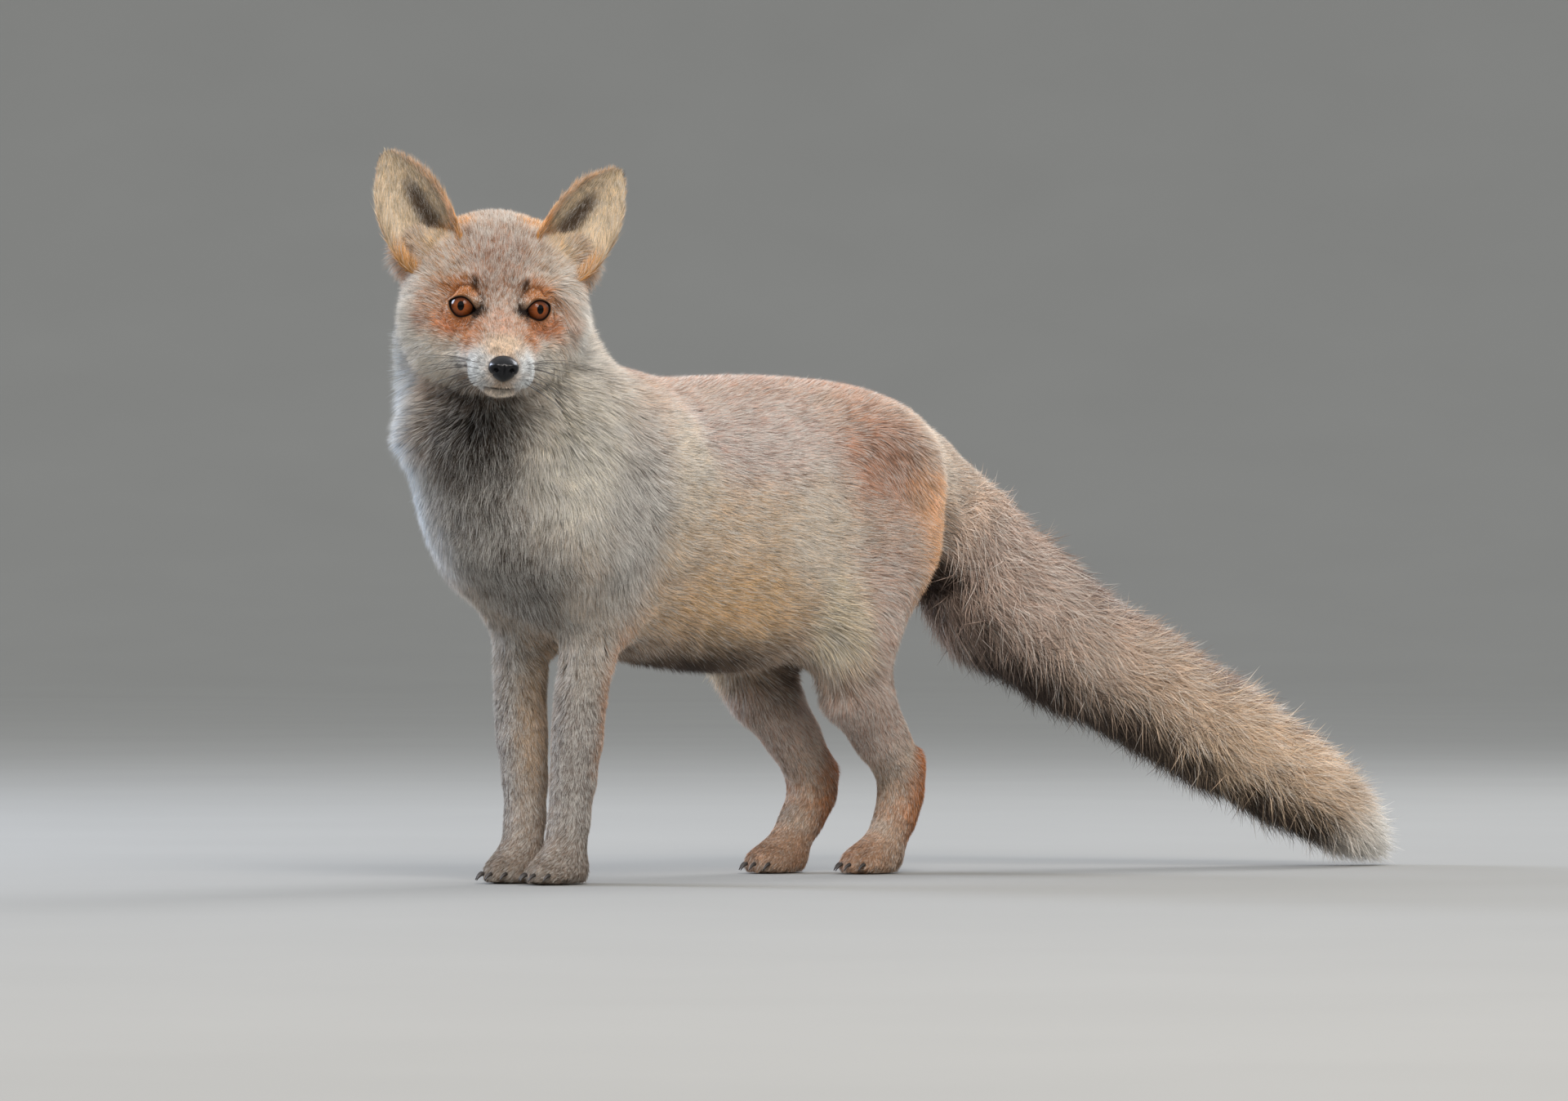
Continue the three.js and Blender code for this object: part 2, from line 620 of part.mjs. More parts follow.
const FINISH = {
  head: [GREY_FAWN, 0.85],
  muzzle: [GREY_FAWN, 0.85],
  lower_jaw: [TAIL_WHITE, 0.85],
  nose: [NOSE_BLACK, 0.3],
  eye: [EYE_AMBER, 0.1],
  ear: [EAR_BUFF, 0.85],
  neck: [RUFF_GREY, 0.85],
  trunk: [BACK_RUSSET, 0.85],
  foreleg: [LEG_GREY, 0.85],
  forepaw: [LEG_GREY, 0.85],
  thigh: [BACK_RUSSET, 0.85],
  shank: [SHANK_RUST, 0.85],
  hind_foot: [SHANK_RUST, 0.85],
  tail: [TAIL_BROWN, 0.9],
};

function mesh(name, solid) {
  const kind = Object.keys(FINISH).find((key) => name.startsWith(key));
  const [color, roughness] = FINISH[kind];
  const material = new THREE.MeshStandardMaterial({ color, roughness, metalness: 0 });
  const made = new THREE.Mesh(geometryOf(solid), material);
  made.name = name;
  return made;
}

const skullCutter = surfaceOf((x, y, z) => wholeBody(x, y, z) - GAP, SKULL_ROOM);
const solids = {
  ...headSolids(),
  ear_left: earSolid(LEFT, skullCutter),
  ear_right: earSolid(RIGHT, skullCutter),
  ...trunkSolids(),
  ...forelegSolids(LEFT, "left"),
  ...forelegSolids(RIGHT, "right"),
  ...hindLegSolids(LEFT, "left"),
  ...hindLegSolids(RIGHT, "right"),
  ...tailSolids(),
};

const fox = new THREE.Group();
for (const [name, solid] of Object.entries(solids)) fox.add(mesh(name, solid));

export default fox;
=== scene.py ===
import math

import bmesh
import bpy
import numpy as np
from mathutils import Matrix, Vector
from mathutils.bvhtree import BVHTree


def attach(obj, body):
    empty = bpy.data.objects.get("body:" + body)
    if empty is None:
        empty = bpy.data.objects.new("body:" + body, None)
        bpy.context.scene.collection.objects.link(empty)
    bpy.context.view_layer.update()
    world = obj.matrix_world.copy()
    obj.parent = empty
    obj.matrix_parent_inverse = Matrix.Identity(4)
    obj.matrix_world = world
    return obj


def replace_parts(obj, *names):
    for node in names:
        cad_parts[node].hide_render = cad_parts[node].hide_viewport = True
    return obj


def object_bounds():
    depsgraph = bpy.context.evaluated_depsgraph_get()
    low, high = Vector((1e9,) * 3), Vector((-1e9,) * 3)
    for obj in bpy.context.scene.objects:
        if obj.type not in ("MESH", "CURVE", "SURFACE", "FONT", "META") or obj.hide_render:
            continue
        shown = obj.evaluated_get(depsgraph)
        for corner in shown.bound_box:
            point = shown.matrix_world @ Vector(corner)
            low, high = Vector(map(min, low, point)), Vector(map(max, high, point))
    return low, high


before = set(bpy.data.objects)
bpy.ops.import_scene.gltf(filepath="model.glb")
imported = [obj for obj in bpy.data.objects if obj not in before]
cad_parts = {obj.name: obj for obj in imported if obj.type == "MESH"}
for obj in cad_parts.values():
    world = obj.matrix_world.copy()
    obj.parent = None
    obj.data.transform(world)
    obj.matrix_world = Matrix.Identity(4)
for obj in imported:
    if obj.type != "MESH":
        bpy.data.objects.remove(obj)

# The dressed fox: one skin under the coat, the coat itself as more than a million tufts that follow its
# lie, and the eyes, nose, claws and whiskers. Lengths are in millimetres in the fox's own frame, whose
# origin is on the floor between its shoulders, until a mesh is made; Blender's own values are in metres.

CAD_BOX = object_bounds()
MM = 0.001
CENTRE = np.array([50.3, 128.8, 0.0])  # the row's origin, from between the shoulders
LEFT, RIGHT = 1, -1
SEED = 7

# ---------------------------------------------------------------- driving sizes of the fox

HEAD_AT = np.array([51.0, -260.5, 416.7])  # midway between the eyes
HEAD_TURN = math.radians(49.5)
HEAD_TILT = math.radians(2.5)
HEAD_AXES = np.array(Matrix.Rotation(HEAD_TURN, 3, "Z") @ Matrix.Rotation(HEAD_TILT, 3, "Y"))

# The bare head: distance from the eyes' plane, half width, top and bottom, in the head's frame.
BARE_HEAD = [
    (104, 38, 40, -43),
    (82, 51, 58, -53),
    (56, 57, 67, -57),
    (30, 55, 58, -57),
    (12, 49.5, 40.5, -56.5),
    (-2, 39.5, 20.5, -56),
    (-16, 30, 3.5, -55.5),
    (-30, 24, -9.5, -56.5),
    (-44, 20, -20.5, -57),
    (-54, 17, -28, -56),
    (-61, 12, -35, -54),
]
HEAD_MIDDLE = np.array([0.0, 30.0, 0.0])  # a point well within the head
EYE_AT = np.array([25.6, -4.6, 0.0])
EYE_RADIUS = 10.4
EYE_OUTWARD = math.radians(17)  # how far each eye looks away from straight ahead
EYE_SLANT = math.radians(17)  # outer corner above inner corner
LID_HALF_WIDTH = math.radians(70)
LID_HALF_HEIGHTS = math.radians(34), math.radians(42)  # above and below the middle of the eye
NOSE_AT = np.array([0.0, -63.0, -44.5])
NOSE_SIZE = np.array([11.0, 8.8, 9.4])
MOUTH_HEIGHT = -58.5

EAR_LENGTH = 88
EAR_SUNK = 10  # how much of it is hidden in the head
EAR_THICKNESS = 2.6
EAR_BASE = np.array([46.0, 44.0, 46.0])
EAR_LEAN = {LEFT: (43, 27, 57), RIGHT: (35, 27, 63)}
EAR_FACING = (0.42, -0.9, 0.1)
# How far up the ear, its half width there, and half the angle it wraps round, in degrees.
EAR_SHAPE = [
    (-0.16, 15, 80),
    (0, 24, 78),
    (0.2, 27, 68),
    (0.45, 26.5, 56),
    (0.7, 20.5, 46),
    (0.88, 12, 38),
    (0.96, 7, 34),
    (1, 0.8, 30),
]

FOREPAW = {LEFT: (22, -170), RIGHT: (-22, -170)}
HINDPAW = {LEFT: (31, 158), RIGHT: (-31, 120)}
TOE_RADIUS = 8.5

HIND_LEG = {
    LEFT: [
        (46, 112, 186), (41, 130, 138), (38, 159, 104), (36, 183, 80),
        (34, 187, 58), (33, 182, 42), (31, 160, 14),
    ],
    RIGHT: [
        (46, 96, 180), (41, 117, 135), (38, 143, 104), (36, 162, 77),
        (34, 162, 58), (33, 151, 42), (31, 122, 14),
    ],
}
TAIL = [
    (1, 236, 306), (13, 268, 257), (28, 298, 214), (56, 344, 174), (86, 396, 141),
    (118, 452, 104), (147, 501, 70), (166, 534, 44), (186, 569, 16),
]
TAIL_RADII = [34, 51, 58, 52, 47, 45, 40, 31, 8]

# ---------------------------------------------------------------- small helpers


def flattened(v, normals, share=1.0):
    """Directions with their part along the normals taken away, or a share of it."""
    return v - normals * (v * normals).sum(1, keepdims=True) * share


def smoothstep(low, high, v):
    t = np.clip((v - low) / (high - low), 0, 1)
    return t * t * (3 - 2 * t)


def mix(a, b, t):
    return a * (1 - t) + b * t


def blend(a, b, t):
    """Mixes colours or directions, one share to each."""
    return mix(a, b, np.asarray(t)[..., None])


def unit(v):
    return v / np.maximum(np.linalg.norm(v, axis=-1, keepdims=True), 1e-9)


def to_head(p):
    return (p - HEAD_AT) @ HEAD_AXES


def from_head(h):
    return np.asarray(h, float) @ HEAD_AXES.T + HEAD_AT


def linear(hex_colour):
    """An sRGB hex colour as linear red, green and blue."""
    srgb = np.array([int(hex_colour[i:i + 2], 16) / 255 for i in (1, 3, 5)])
    return np.where(srgb <= 0.04045, srgb / 12.92, ((srgb + 0.055) / 1.055) ** 2.4)


CHANCE = np.random.default_rng(SEED).uniform(-1, 1, 8192).astype(np.float32)


def noise(p, size, seed=0):
    """Smooth noise between -1 and 1 whose blobs are about `size` millimetres across."""
    q = (p / size).astype(np.float32)
    low = np.floor(q)
    f = q - low
    f = f * f * (3 - 2 * f)
    low = low.astype(np.int64)
    total = 0
    for corner in np.ndindex(2, 2, 2):
        x, y, z = (low[:, k] + corner[k] for k in range(3))
        share = np.prod([f[:, k] if corner[k] else 1 - f[:, k] for k in range(3)], axis=0)
        total = total + share * CHANCE[((x * 1327) ^ (y * 4513) ^ (z * 6947) ^ (seed * 977)) & 8191]
    return total


def catmull(stations, y, steps=12):
    """Each column of the stations as a smooth function of the first one."""
    s = np.array(sorted(stations), float)
    padded = np.vstack([s[0], s, s[-1]])
    rows = []
    for i in range(len(s) - 1):
        p0, p1, p2, p3 = padded[i:i + 4]
        for t in np.arange(steps) / steps:
            pull = 2 * p0 - 5 * p1 + 4 * p2 - p3
            row = p1 + 0.5 * t * (p2 - p0 + t * (pull + t * (p3 - p0 + 3 * (p1 - p2))))
            row[0] = p1[0] + t * (p2[0] - p1[0])
            rows.append(row)
    rows = np.array(rows + [s[-1]])
    return [np.interp(y, rows[:, 0], rows[:, k]) for k in range(1, s.shape[1])]


# ---------------------------------------------------------------- the bare head's form


def soft_union(a, b, k):
    h = np.maximum(k - np.abs(a - b), 0) / k
    return np.minimum(a, b) - h * h * k / 4


def ellipsoid(p, centre, radii):
    q = (p - np.array(centre)) / np.array(radii)
    k0 = np.linalg.norm(q, axis=-1)
    k1 = np.linalg.norm(q / np.array(radii), axis=-1)
    return k0 * (k0 - 1) / np.maximum(k1, 1e-9)


def barrel(p, stations):
    ends = stations[0][0], stations[-1][0]
    y = np.clip(p[:, 1], min(ends), max(ends))
    half, top, bottom = catmull(stations, y)
    tall = (top - bottom) / 2
    cap = np.minimum(half, tall) * 0.6
    q = np.stack([p[:, 0], p[:, 2] - (top + bottom) / 2, p[:, 1] - y], 1)
    radii = np.stack([half, tall, cap], 1)
    k0 = np.linalg.norm(q / radii, axis=1)
    k1 = np.linalg.norm(q / radii**2, axis=1)
    return k0 * (k0 - 1) / np.maximum(k1, 1e-9)


def bare_head(p):
    """Signed distance to the head's bare form, in the head's frame; both sides are alike."""
    p = np.column_stack([np.abs(p[:, 0]), p[:, 1:]])
    d = barrel(p, BARE_HEAD)
    d = soft_union(d, ellipsoid(p, (18.5, 4, 14.5), (13, 10.5, 9.5)), 9)  # brow
    d = soft_union(d, ellipsoid(p, (27, 5, -20), (15, 13, 15)), 14)  # cheekbone
    d = soft_union(d, ellipsoid(p, (45, 60, 40), (24, 16, 19)), 12)  # root of the ear
    d = -soft_union(-d, ellipsoid(p, (29.5, -23, -13), (12.5, 14, 11)), 7)  # hollow beside the bridge
    d = soft_union(d, ellipsoid(p, (11.5, -45, -47.5), (9.8, 15.5, 9)), 6)  # upper lip
    d = soft_union(d, ellipsoid(p, (0, -43, -57.5), (10, 15.5, 5)), 5)  # chin
    return d


def gradient(field, p, step=0.6):
    slopes = [field(p + e) - field(p - e) for e in np.eye(3) * step]
    return unit(np.stack(slopes, 1))


# ---------------------------------------------------------------- the lie of the coat

# Each stretch of coat: which coat it belongs to, its frame, where it starts and ends, how near it reaches,
# then at each end the coat's depth over the skin and the hair's length, then its width and the tufts per
# square mm. "sides" stretches are on both sides of the body and "pair" stretches on both sides of the head.
STRETCHES = [
    # coat, frame, from, to, reach, depth, length, width, tufts
    ("face", "head", (0, -64, -34), (0, -14, 4), 17, (0.9, 1.8), (2.6, 4.6), 0.34, 7.0),
    ("face", "pair", (9, -60, -50), (21, -26, -44), 13, (0.9, 2.0), (2.4, 6.0), 0.34, 7.0),
    ("face", "head", (0, -10, 12), (0, 34, 62), 26, (2.2, 5.0), (6.0, 11.0), 0.42, 5.2),
    ("face", "pair", (15, -10, 10), (42, 34, 46), 20, (2.0, 5.0), (5.5, 11.0), 0.42, 5.2),
    ("face", "pair", (27, -14, -16), (54, 30, -6), 20, (1.8, 10.0), (5.0, 17.0), 0.42, 5.0),
    ("face", "pair", (21, -26, -34), (50, 36, -48), 20, (2.0, 13.0), (7.0, 22.0), 0.46, 4.6),
    ("face", "pair", (7, -56, -60), (24, 10, -62), 16, (1.2, 9.0), (3.0, 18.0), 0.42, 5.0),
    ("face", "pair", (34, 34, 48), (38, 48, 74), 17, (4.0, 4.0), (11.0, 13.0), 0.42, 4.6),
    ("ruff", "head", (0, 44, 62), (0, 104, 30), 36, (6.0, 12.0), (13.0, 22.0), 0.55, 2.6),
    ("ruff", "pair", (46, 40, -10), (52, 96, -30), 34, (12.0, 15.0), (19.0, 25.0), 0.55, 2.6),
    ("ruff", "body", (6, -226, 360), (0, -208, 236), 78, (17.0, 13.0), (26.0, 26.0), 0.62, 2.3),
    ("ruff", "sides", (52, -212, 400), (60, -176, 250), 60, (15.0, 13.0), (27.0, 25.0), 0.6, 2.3),
    ("ruff", "body", (0, -170, 400), (0, -90, 356), 66, (12.0, 9.0), (24.0, 20.0), 0.6, 2.2),
    ("ruff", "sides", (24, -204, 232), (28, -168, 186), 40, (12.0, 6.0), (24.0, 15.0), 0.55, 2.4),
    ("flank", "body", (0, -90, 350), (0, 235, 326), 74, (8.5, 8.0), (19.0, 18.0), 0.66, 1.65),
    ("flank", "sides", (58, -110, 300), (54, 175, 240), 62, (8.0, 8.0), (19.0, 18.0), 0.66, 1.65),
    ("flank", "sides", (42, -110, 200), (42, 110, 166), 50, (9.0, 11.0), (21.0, 28.0), 0.66, 1.6),
    ("flank", "sides", (56, -158, 300), (42, -134, 196), 40, (8.0, 5.0), (17.0, 12.0), 0.56, 2.1),
    ("flank", "sides", (48, 150, 300), (56, 150, 176), 52, (7.5, 5.5), (17.0, 13.0), 0.58, 1.9),
    ("foreleg", "sides", (34, -150, 188), (29, -156, 110), 22, (4.0, 2.2), (10.0, 7.0), 0.42, 3.2),
    ("foreleg", "sides", (29, -156, 110), (22, -160, 40), 18, (2.2, 1.8), (7.0, 6.0), 0.4, 3.4),
    ("foreleg", "sides", (22, -160, 36), (22, -196, 8), 18, (1.6, 1.0), (6.0, 4.5), 0.38, 3.6),
]
# Along the tail, the coat's depth over the skin and the hair's length.
TAIL_COAT = ((10, 19, 28, 28, 26, 26, 25, 20, 6), (22, 34, 46, 46, 44, 44, 44, 42, 32))


def stretches():
    """Every stretch in the body's frame, with both sides' copies, as rows of arrays."""
    rows = []
    for coat, where, start, end, reach, depth, length, width, tufts in STRETCHES:
        for side in ((LEFT, RIGHT) if where in ("pair", "sides") else (LEFT,)):
            a, b = (np.array([v[0] * side, v[1], v[2]], float) for v in (start, end))
            if where in ("head", "pair"):
                a, b = from_head(a), from_head(b)
            rows.append((coat, a, b, reach, depth, length, width, tufts))
    for side in (LEFT, RIGHT):
        joints = [np.array([x * side, y, z], float) for x, y, z in HIND_LEG[side]]
        reaches = (40, 26, 20, 18, 17, 17)
        depths = (5.0, 3.4, 2.6, 2.0, 1.8, 1.6, 1.0)
        lengths = (13.0, 10.0, 8.0, 6.5, 6.0, 5.5, 4.5)
        for i in range(len(joints) - 1):
            ends = joints[i], joints[i + 1]
            rows.append(("hindleg", *ends, reaches[i], depths[i:i + 2], lengths[i:i + 2], 0.42, 2.8))
    depth, length = TAIL_COAT
    for i in range(len(TAIL) - 1):
        a, b = np.array(TAIL[i], float), np.array(TAIL[i + 1], float)
        rows.append(("brush", a, b, TAIL_RADII[i], depth[i:i + 2], length[i:i + 2], 0.62, 1.85))
    return rows


STRETCH_ROWS = stretches()
COATS = sorted({row[0] for row in STRETCH_ROWS})


def lie_of_coat(points):
    """For each point: the hair's direction, the coat's depth, its length, width and tufts, and an unwrap."""
    count = len(STRETCH_ROWS)
    weights = np.zeros((len(points), count))
    values = np.zeros((len(points), count, 4))
    places = np.zeros((len(points), count))
    directions = np.array([unit(row[2] - row[1]) for row in STRETCH_ROWS])
    for i, (_, a, b, reach, depth, length, width, tufts) in enumerate(STRETCH_ROWS):
        run = b - a
        t = np.clip((points - a) @ run / (run @ run), 0, 1)
        away = np.linalg.norm(points - a - t[:, None] * run, axis=1)
        weights[:, i] = (np.maximum(away, 0.25 * reach) / reach) ** -7.0
        values[:, i, 0] = depth[0] + (depth[1] - depth[0]) * t
        values[:, i, 1] = length[0] + (length[1] - length[0]) * t
        values[:, i, 2] = width
        values[:, i, 3] = tufts
        places[:, i] = t
    nearest = weights.argmax(1)
    weights /= weights.sum(1, keepdims=True)
    lie = unit(weights @ directions)
    depth, length, width, tufts = (np.einsum("ij,ijk->ik", weights, values)[:, k] for k in range(4))
    starts = np.array([row[1] for row in STRETCH_ROWS])[nearest]
    spoke = points - starts
    up = np.where(np.abs(directions[nearest][:, 2:3]) > 0.8, [[0.0, 1.0, 0.0]], [[0.0, 0.0, 1.0]])
    side = unit(np.cross(directions[nearest], up))
    over = np.cross(side, directions[nearest])
    angle = np.arctan2((spoke * side).sum(1), (spoke * over).sum(1)) / (2 * math.pi) + 0.5
    unwrap = np.stack([places[np.arange(len(points)), nearest], (nearest + angle) / count], 1)
    coat = np.array([COATS.index(row[0]) for row in STRETCH_ROWS])[nearest]
    return lie, depth, length, width, tufts, unwrap, coat


# ---------------------------------------------------------------- the markings

# Patches of colour, painted one over the other: frame, centre, radii, colour, strength, frosting.
# "both" patches are on both sides of the body and "pair" patches on both sides of the head.
MARKINGS = [
    ("body", (0, 60, 260), (900, 900, 900), "#b3a191", 1.0, 0.3),
    # back, flanks and belly
    ("both", (70, -10, 322), (66, 130, 40), "#ab9389", 0.9, 0.65),
    ("body", (0, 30, 386), (60, 210, 34), "#a58474", 0.85, 0.5),
    ("both", (84, -96, 300), (26, 40, 66), "#c3b8a8", 0.9, 0.5),
    ("both", (82, -20, 250), (46, 100, 44), "#bfab94", 0.9, 0.4),
    ("both", (76, -16, 200), (44, 100, 34), "#cdb08c", 0.85, 0.25),
    ("both", (74, 60, 254), (40, 46, 52), "#c5b8a8", 0.8, 0.5),
    ("both", (66, 124, 318), (46, 40, 48), "#a5826f", 0.9, 0.25),
    ("body", (0, 150, 372), (50, 50, 40), "#a68877", 0.8, 0.25),
    ("both", (80, 178, 254), (42, 34, 56), "#c69f7e", 0.9, 0.12),
    ("both", (40, 214, 322), (40, 20, 34), "#d6cabb", 0.7, 0.3),
    ("both", (84, 112, 206), (34, 36, 62), "#a38a7d", 0.85, 0.5),
    ("both", (62, 76, 184), (24, 20, 42), "#d8cdb8", 0.9, 0.35),
    ("body", (0, -10, 154), (62, 110, 20), "#8c7866", 0.9, 0.15),
    ("body", (0, -40, 146), (170, 84, 33), "#332a25", 1.0, 0.0),
    # head
    ("head", (0, 26, 4), (76, 64, 76), "#a08068", 1.0, 0.62),
    ("head", (0, 30, 62), (44, 40, 30), "#8d725d", 0.85, 0.7),
    ("head", (0, 4, 34), (34, 24, 32), "#946a52", 0.85, 0.6),
    ("pair", (40, 12, 30), (18, 24, 18), "#a58262", 0.8, 0.6),
    # neck, chest and shoulders
    ("body", (10, -200, 370), (110, 60, 80), "#b8afa4", 0.9, 0.5),
    ("body", (24, -258, 250), (60, 76, 100), "#4c4640", 0.95, 0.5),
    # painted light: the cool cast of soft daylight falling on the fox's right side of the neck
    ("body", (-62, -232, 340), (42, 90, 110), "#c9d0d6", 0.95, 0.5),
    ("body", (90, -202, 340), (40, 44, 82), "#e2dccf", 1.0, 0.6),
    ("body", (32, -280, 328), (38, 40, 42), "#3d3732", 0.95, 0.28),
    ("both", (86, -158, 262), (32, 30, 86), "#857f7a", 0.9, 0.7),
    ("body", (20, -206, 216), (50, 38, 40), "#5c544e", 0.85, 0.45),
    ("both", (52, -182, 200), (22, 26, 40), "#ab9f92", 0.75, 0.5),
    # legs
    ("both", (36, -165, 95), (28, 24, 100), "#7c736d", 0.95, 0.6),
    ("both", (34, -164, 168), (24, 26, 32), "#a1978c", 0.7, 0.5),
    ("both", (50, -138, 122), (20, 15, 78), "#b5927a", 0.85, 0.15),
    ("both", (10, -152, 130), (12, 26, 66), "#aa957f", 0.8, 0.2),
    ("both", (22, -180, 16), (30, 40, 26), "#85786d", 0.8, 0.4),
    ("both", (46, 128, 122), (34, 44, 44), "#a48b7f", 0.85, 0.5),
    ("body", (44, 200, 82), (26, 22, 42), "#a06c4c", 0.95, 0.08),
    ("body", (-40, 172, 76), (26, 20, 40), "#996849", 0.95, 0.08),
    ("body", (34, 190, 46), (22, 18, 28), "#a67656", 0.9, 0.08),
    ("body", (-34, 162, 44), (22, 18, 28), "#a07253", 0.9, 0.08),
    ("both", (32, 130, 14), (26, 44, 20), "#ac8a72", 0.8, 0.2),
    # painted shade: the dark between the hind legs, where the inner thighs fall in shadow
    ("body", (0, 98, 150), (22, 38, 42), "#3a322d", 0.85, 0.0),
    # face
    ("pair", (58, 30, -14), (20, 40, 34), "#c9c6c0", 0.85, 0.5),
    ("pair", (46, 4, -38), (20, 30, 20), "#b9b1a4", 0.85, 0.5),
    ("pair", (42, 0, 0), (18, 20, 17), "#a57a5b", 0.75, 0.4),
    ("pair", (30, -13, -12), (16, 18, 11), "#b47a58", 0.85, 0.06),
    ("pair", (20, -32, -19), (8.5, 18, 12), "#a2704f", 0.9, 0.15),
    ("pair", (28, -6, 11), (14, 12, 8), "#a4714e", 0.85, 0.06),
    ("head", (0, -14, 6), (12, 18, 18), "#8f6f5c", 0.8, 0.4),
    ("head", (0, -34, -12), (12, 20, 13), "#b59380", 0.85, 0.25),
    ("head", (0, -54, -29), (12, 12, 10), "#cdbba8", 0.9, 0.0),
    ("pair", (30, -22, -38), (14, 16, 8), "#d5d2cc", 0.85, 0.2),
    ("pair", (16, -48, -46), (12, 18, 12), "#eef0f0", 1.0, 0.0),
    ("head", (0, -52, -64), (16, 18, 7), "#dacfc2", 0.95, 0.0),
    ("head", (-55, 9, -11), (9, 10, 9), "#866556", 0.8, 0.1),
    ("head", (54, 10, -9), (8, 9, 8), "#9a7a68", 0.6, 0.2),
    ("pair", (27, 40, 64), (13, 15, 12), "#cfa47a", 0.8, 0.2),
    ("pair", (44, 40, 50), (16, 16, 16), "#d6bf9f", 0.8, 0.25),
    ("pair", (64, 36, 30), (11, 14, 11), "#c98f5e", 0.85, 0.06),
    ("pair", (17.5, -9, 16), (3.2, 5, 4.4), "#3a2c25", 0.95, 0.0),
    ("pair", (54, 44, 46), (6, 10, 12), "#8f7865", 0.5, 0.3),
    # painted shade: streaks beside the bridge that run up from the inner corners of the eyes to the brow spots
    ("pair", (14.5, -13, 5), (3.2, 8, 7), "#4d3a2e", 0.45, 0.25),
    ("pair", (15, -17.5, -5), (6.4, 9, 5.4), "#1c1411", 1.0, 0.0),
]
PALER = 1.5  # hairs shade one another, so each is paler than the coat looks,
RICHER = 1.22  # and their white tips wash it out, so each is richer too
RAGGED = (22, 9, 4, 2)  # how large the tongues along the patches' edges are


def as_hair(colour):
    """The colour single hairs need for the whole coat to look as painted: paler and richer."""
    grey = (colour @ np.array([0.21, 0.72, 0.07]))[:, None]
    richer = np.maximum(grey + RICHER * (colour - grey), 0.004)
    return richer * np.minimum(PALER, 0.88 / richer.max(1))[:, None]


def paint(points, normals):
    """The coat's colour and frosting at each point, with a few patches of painted light and shade among the
    markings. The edges of the patches are ragged, as hair makes them.
    """
    head = to_head(points)
    colour = np.zeros((len(points), 3))
    frost = np.zeros(len(points))
    edges = {size: noise(points, size, size) for size in RAGGED}
    for where, centre, radii, hex_colour, strength, frosting in MARKINGS:
        p = head if where in ("head", "pair") else points
        if where in ("pair", "both"):
            p = np.column_stack([np.abs(p[:, 0]), p[:, 1:]])
        coarse = next((size for size in RAGGED if size * 2.4 < min(radii)), RAGGED[-1])
        ragged = 0.2 * edges[coarse] + 0.14 * edges[RAGGED[-1]]
        d = np.linalg.norm((p - np.array(centre)) / np.array(radii), axis=1) + ragged
        inside = np.flatnonzero(d < 1.6)
        w = strength * smoothstep(1.6, 0.45, d[inside])
        colour[inside] = blend(colour[inside], linear(hex_colour), w)
        frost[inside] = mix(frost[inside], frosting, w)
    colour, frost = paint_brush(points, normals, colour, frost)
    return as_hair(colour), frost


def along_tail(points):
    """How far along the tail each point is, from 0 at its root to 1 at its tip, and its distance from it."""
    joints = np.array(TAIL, float)
    lengths = np.linalg.norm(np.diff(joints, axis=0), axis=1)
    starts = np.concatenate([[0], np.cumsum(lengths)])
    best = np.full(len(points), 1e9)
    where = np.zeros(len(points))
    for i, run in enumerate(np.diff(joints, axis=0)):
        t = np.clip((points - joints[i]) @ run / (run @ run), 0, 1)
        away = np.linalg.norm(points - joints[i] - t[:, None] * run, axis=1)
        nearer = away < best
        best = np.where(nearer, away, best)
        where = np.where(nearer, (starts[i] + t * lengths[i]) / starts[-1], where)
    return where, best


def paint_brush(points, normals, colour, frost):
    """The tail: dark along its top, buff on its sides, black below and pale at the tip."""
    where, away = along_tail(points)
    on_tail = smoothstep(66, 50, away) * smoothstep(0.03, 0.14, where) * (points[:, 1] > 215)
    up = normals[:, 2] + 0.25 * noise(points, 22, 41) + 0.12 * noise(points, 7, 42)
    side = blend(linear("#a6958a"), linear("#b9a692"), smoothstep(0.2, 0.7, where))
    brush = side * (1 + 0.16 * noise(points, 12, 43))[:, None]
    brush = blend(brush, linear("#705c54"), 0.85 * smoothstep(0.5, 0.88, up) * smoothstep(0.95, 0.8, where))
    brush = blend(brush, linear("#2f2824"), 0.95 * smoothstep(-0.3, -0.72, up) * smoothstep(0.96, 0.86, where))
    brush = blend(brush, linear("#e2dfda"), smoothstep(0.84, 0.94, where + 0.02 * noise(points, 9, 44)))
    colour = blend(colour, brush, on_tail)
    return colour, mix(frost, 0.35 * smoothstep(-0.7, 0, up), on_tail)


# ---------------------------------------------------------------- mesh tools


def make_mesh(name, points, faces, uv=None, colours=None, smooth=True):
    """A mesh object from millimetres in the fox's frame; faces is an array of triangles."""
    mesh = bpy.data.meshes.new(name)
    faces = np.asarray(faces, np.int32)
    mesh.vertices.add(len(points))
    mesh.loops.add(faces.size)
    mesh.polygons.add(len(faces))
    mesh.vertices.foreach_set("co", ((points - CENTRE) * MM).astype(np.float32).ravel())
    mesh.loops.foreach_set("vertex_index", faces.ravel())
    mesh.polygons.foreach_set("loop_start", np.arange(len(faces), dtype=np.int32) * faces.shape[1])
    mesh.polygons.foreach_set("use_smooth", np.full(len(faces), smooth))
    mesh.update(calc_edges=True)
    if uv is not None:
        layer = mesh.uv_layers.new(name="OFBake")
        layer.data.foreach_set("uv", uv[faces.ravel()].astype(np.float32).ravel())
    if colours is not None:
        attribute = mesh.color_attributes.new("coat_colour", "FLOAT_COLOR", "POINT")
        rgba = np.column_stack([colours, np.ones(len(colours))])
        attribute.data.foreach_set("color", rgba.astype(np.float32).ravel())
    mesh.validate()
    obj = bpy.data.objects.new(name, mesh)
    bpy.context.scene.collection.objects.link(obj)
    return obj


